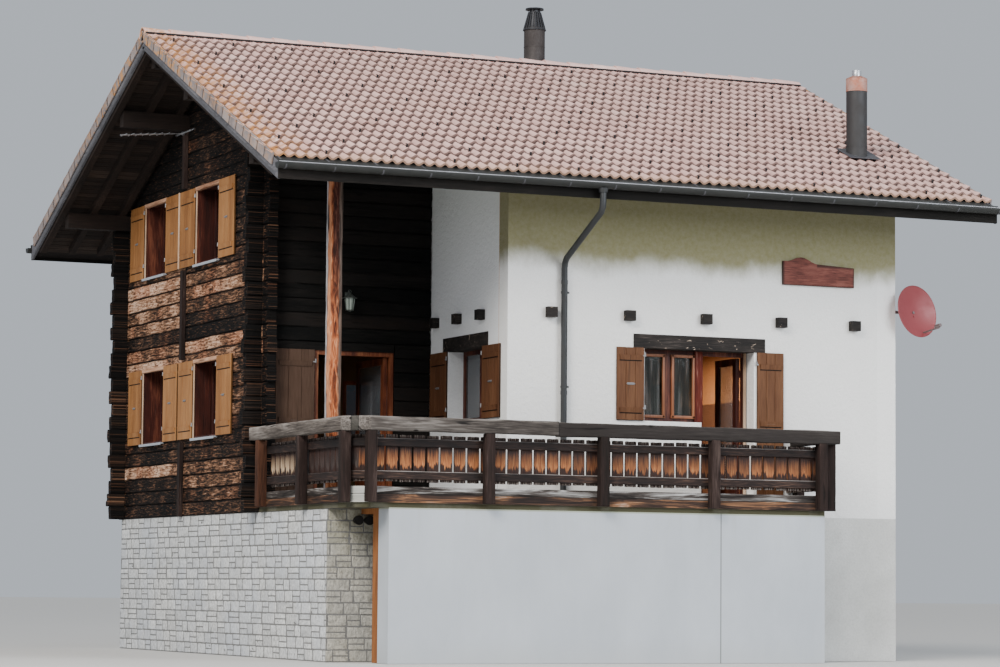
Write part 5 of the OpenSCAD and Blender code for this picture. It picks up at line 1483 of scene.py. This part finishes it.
def buildFrontUnit():
    # pine sashes in the two lights, a worn dark red post between window and door, a pale strip beside the
    # door
    unit = {"low": 3.28, "head": 4.28, "face": -4.295, "bar": 0.040, "out": 0.030,
            "lights": (0.38, 0.845), "light": 0.355, "post": (1.200, 1.320)}
    bars = []
    low, top = unit["low"] + 0.06, unit["head"] - 0.06
    wide, bar, out = unit["light"], unit["bar"], unit["out"]
    y = unit["face"] - 0.5 * out
    for x in unit["lights"]:
        bars += [block((wide + 0.02, out, bar), (x + 0.5 * wide, y, z), 0.006, 2)
                 for z in (low + 0.018, top - 0.018)]
        bars += [block((bar, out, top - low), (at, y, 0.5 * (low + top)), 0.006, 2)
                 for at in (x + 0.016, x + wide - 0.016)]
    finish("frontSashes", bars, "pineSash", angle=30)
    high, level = unit["head"] - house["floor"], 0.5 * (unit["head"] + house["floor"])
    post = block((unit["post"][1] - unit["post"][0], 0.05, high),
                 (0.5 * sum(unit["post"]), unit["face"] - 0.02, level), bevel=0.008)
    slice(post, "z", [2.4 + 0.1 * k for k in range(18)])
    roughen(post, 0.002, 9.0)
    finish("frontUnitPost", post, "wornPostTimber", angle=30)
    side = block((0.022, 0.05, high), (1.985, unit["face"] - 0.02, level), bevel=0.003)
    finish("frontDoorCasing", side, "paleStripTimber", angle=0)


buildShutters()
buildWindowTrim()
buildFrontUnit()
print("stage: shutters, window trim and front unit")


# round post of the covered corner, chimneys and fittings
def buildTrunk():
    trunk = {"at": (-4.13, -4.225), "radius": 0.110, "low": 2.25, "high": 6.52, "rings": 42}
    high = trunk["high"] - trunk["low"]
    post = tube(trunk["radius"], high, (*trunk["at"], trunk["low"] + 0.5 * high), "z", 28)
    slice(post, "z", [trunk["low"] + high * k / trunk["rings"] for k in range(1, trunk["rings"])])
    for point in post.data.vertices:
        at = point.co
        turn = math.atan2(at.y - trunk["at"][1], at.x - trunk["at"][0])
        worn = 0.012 * abs(noise.noise(Vector((math.cos(turn) * 1.6, math.sin(turn) * 1.6, at.z * 1.7))))
        worn += 0.006 * abs(noise.noise(Vector((math.cos(turn) * 5.0, math.sin(turn) * 5.0, at.z * 5.0))))
        share = 1.0 - worn / trunk["radius"]
        at.x = trunk["at"][0] + (at.x - trunk["at"][0]) * share
        at.y = trunk["at"][1] + (at.y - trunk["at"][1]) * share
    finish("loggiaTrunk", post, "trunkTimber", "loggia_post", 60)


def buildFlue():
    # cased flue with a seam ring, a copper band, a shoulder and a short bright pipe
    x, y, r = 4.13, -3.735, 0.155
    low, bandLow, bandTop, top = 7.10, 8.205, 8.395, 8.515
    case = tube(r - 0.003, bandLow - low, (x, y, 0.5 * (bandLow + low)), "z", 48)
    ring = tube(r + 0.001, 0.012, (x, y, 7.40), "z", 48)
    foot = tube(r + 0.012, 0.045, (x, y, 7.235), "z", 48, topRadius=r)
    finish("flueCase", [case, ring, foot], "flueMetal", "round_flue", 35)
    band = tube(r, bandTop - bandLow, (x, y, 0.5 * (bandTop + bandLow)), "z", 48, bevel=0.004)
    lip = tube(r + 0.002, 0.010, (x, y, bandLow + 0.004), "z", 48)
    shoulder = tube(r, 0.034, (x, y, bandTop + 0.017), "z", 48, topRadius=0.085)
    finish("flueCopperBand", [band, lip, shoulder], "copperMetal", angle=35)
    pipe = tube(0.068, top - bandTop, (x, y, 0.5 * (top + bandTop) + 0.001), "z", 32, bevel=0.003)
    finish("fluePipe", pipe, "silverMetal", angle=35)
    plate = block((0.52, 0.46, 0.010), (x + 0.03, 0.0, 0.012), bevel=0.003)
    apron = onSlope(repeat(plate, [moved(0.0, (y - roof["ridgeY"]) / math.cos(roof["pitch"]), 0.0)]))
    finish("flueApron", apron, "leadMetal", angle=0)


def buildStack():
    # steel stack behind the ridge: louvred cone, five legs and a flat rain cap
    x, y, r = 0.922, 0.525, 0.162
    low, cone, coneTop, capAt, slats = 8.70, 9.525, 9.795, 9.855, 20
    body = tube(r, cone - low + 0.03, (x, y, 0.5 * (cone + low) + 0.015), "z", 40)
    seam = tube(r + 0.003, 0.012, (x, y, 9.26), "z", 40)
    finish("stackBody", [body, seam], "stackMetal", "ridge_chimney", 35)
    high = coneTop - cone
    inner = tube(0.158, high, (x, y, cone + 0.5 * high), "z", 40, topRadius=0.088)
    rim = tube(0.180, 0.024, (x, y, cone + 0.006), "z", 40, topRadius=0.172)
    collar = tube(0.100, 0.016, (x, y, coneTop), "z", 40)
    neck = tube(0.078, 0.05, (x, y, coneTop + 0.02), "z", 32)
    cap = tube(0.140, 0.012, (x, y, capAt), "z", 40, bevel=0.003)
    capRim = tube(0.143, 0.018, (x, y, capAt - 0.006), "z", 40, topRadius=0.128)
    parts = [inner, rim, collar, neck, cap, capRim]
    slat = block((0.022, 0.012, high * 1.02), bevel=0.002)
    leaned = moved(0.0, -0.135, 0.0) @ turned(-math.atan2(0.075, high), "X")
    middle = moved(x, y, cone + 0.5 * high)
    turns = [2.0 * math.pi * k / slats for k in range(slats)]
    parts.append(repeat(slat, [middle @ turned(turn, "Z") @ leaned for turn in turns]))
    leg = block((0.014, 0.006, 0.075), (0.0, -0.096, coneTop + 0.032))
    turns = [2.0 * math.pi * (k + 0.4) / 5 for k in range(5)]
    parts.append(repeat(leg, [moved(x, y, 0.0) @ turned(turn, "Z") for turn in turns]))
    finish("stackCowl", parts, "cowlMetal", angle=35)


def buildLantern():
    x, y = -3.045, -2.005
    low, eaveAt, apex = 4.845, 5.015, 5.085
    high = eaveAt - low
    glass = tube(0.052, high, (x, y, low + 0.5 * high), "z", 6, topRadius=0.076)
    finish("lanternGlass", glass, "lanternGlass", angle=0)
    hood = tube(0.104, apex - eaveAt, (x, y, 0.5 * (apex + eaveAt)), "z", 6, topRadius=0.018)
    eave = tube(0.108, 0.012, (x, y, eaveAt), "z", 6)
    foot = tube(0.060, 0.012, (x, y, low), "z", 6)
    knob = tube(0.020, 0.016, (x, y, low - 0.010), "z", 10)
    leaned = moved(0.066, 0.0, 0.0) @ turned(math.atan2(0.024, high), "Y")
    bars = repeat(block((0.007, 0.007, high * 1.03)),
                  [moved(x, y, low + 0.5 * high) @ turned(math.pi * k / 3, "Z") @ leaned for k in range(6)])
    ring = fresh("torus", major_radius=0.022, minor_radius=0.004, major_segments=20, minor_segments=8,
                 location=(x, y, apex + 0.024), rotation=(math.pi / 2, 0, 0))
    arm = tube(0.006, 0.115, (x, y + 0.068, apex + 0.020), "y", 10)
    brace = tube(0.005, 0.11, (x, y + 0.115, apex - 0.035), "z", 8)
    plate = block((0.05, 0.014, 0.16), (x, -1.882, 5.03), bevel=0.003)
    finish("lanternFrame", [hood, eave, foot, knob, ring, arm, brace, plate, bars], "lanternMetal",
           "wall_lantern", 20)


def buildDish():
    # pressed oval dish with a rolled rim, feed arm and head, on a stub mast from the corner
    dish = {"at": (4.585, -4.585, 4.95), "yaw": 14.0, "tip": 80.0, "radius": 0.375, "deep": 0.085}
    bowl = fresh("circle", vertices=56, radius=dish["radius"], fill_type="TRIFAN")
    with editing(bowl):
        bpy.ops.mesh.subdivide(number_cuts=5)
    for point in bowl.data.vertices:
        at = point.co
        share = (at.x * at.x + at.y * at.y) / dish["radius"] ** 2
        at.z = dish["deep"] * (share - 0.45)
    use(bowl, "SOLIDIFY", thickness=0.006, offset=0.0)
    rim = fresh("torus", major_radius=dish["radius"], minor_radius=0.006, major_segments=56, minor_segments=8,
                location=(0, 0, dish["deep"] * 0.55))
    stud = tube(0.010, 0.016, (0.0, -0.06, -0.030), "z", 12)
    face = joined("dishBowl", bowl, rim, stud)
    yaw, tip = math.radians(dish["yaw"]), math.radians(dish["tip"])
    turn = moved(*dish["at"]) @ turned(yaw, "Z") @ turned(tip, "X")
    finish("dishBowl", repeat(face, [turn]), "dishPaint", "satellite_dish")
    arm = block((0.022, 0.022, 0.36), (0.10, -0.30, 0.17), bevel=0.003)
    head = tube(0.026, 0.10, (0.10, -0.27, 0.32), "z", 16)
    back = tube(0.020, 0.16, (0.0, 0.0, -0.10), "z", 16)
    feed = repeat(joined("feed", arm, head, back), [turn])
    mast = tube(0.026, 0.30, (4.591, -4.430, 4.84), "z", 20)
    stub = block((0.30, 0.040, 0.040), (4.445, -4.430, 4.95), bevel=0.003)
    plate = block((0.012, 0.12, 0.12), (4.306, -4.430, 4.95), bevel=0.002)
    finish("dishMount", [feed, mast, stub, plate], "dishMount")


def buildPipe(x, top, wall, foot):
    # downpipe with bent offsets, a funnel under the gutter, sockets and clips
    radius, mouth, kneeHigh, kneeLow = 0.043, 6.262, 5.99, 5.40
    out = math.copysign(1.0, top)
    path = [(top, mouth), (top, kneeHigh + 0.10), (top - 0.012 * out, kneeHigh + 0.03),
            (top - 0.055 * out, kneeHigh - 0.03), (wall + 0.075 * out, kneeLow + 0.05),
            (wall + 0.018 * out, kneeLow - 0.01), (wall, kneeLow - 0.09), (wall, foot)]
    bpy.ops.object.select_all(action="DESELECT")
    bpy.ops.curve.primitive_nurbs_path_add()
    bend = bpy.context.object
    line = bend.data.splines[0]
    line.points.add(len(path) - len(line.points))
    for point, (y, z) in zip(line.points, path):
        point.co = (x, y, z, 1.0)
    line.type = "POLY"
    bend.data.dimensions = "3D"
    bend.data.bevel_depth = radius
    bend.data.bevel_resolution = 5
    bend.data.use_fill_caps = True
    bpy.ops.object.convert(target="MESH")
    parts = [bend, tube(0.055, 0.06, (x, top, mouth - 0.02), "z", 24, topRadius=0.072)]
    parts += [tube(radius + 0.004, 0.05, (x, wall, z), "z", 24) for z in (5.12, 3.62)]
    for z in (4.98, 3.70):
        parts += [tube(radius + 0.006, 0.028, (x, wall, z), "z", 24),
                  block((0.03, 0.060, 0.028), (x, wall - 0.055 * out, z)),
                  block((0.030, 0.014, 0.026), (x + 0.056, wall, z))]
    return joined("pipe", *parts)


buildTrunk()
buildFlue()
buildStack()
buildLantern()
buildDish()
pipes = [buildPipe(-0.93, -5.785, -4.592, 2.26), buildPipe(3.80, 5.935, 4.592, 0.01)]
finish("bentDownpipes", pipes, "pipeMetal", "downpipes")
print("stage: post, chimneys, lantern and dish")
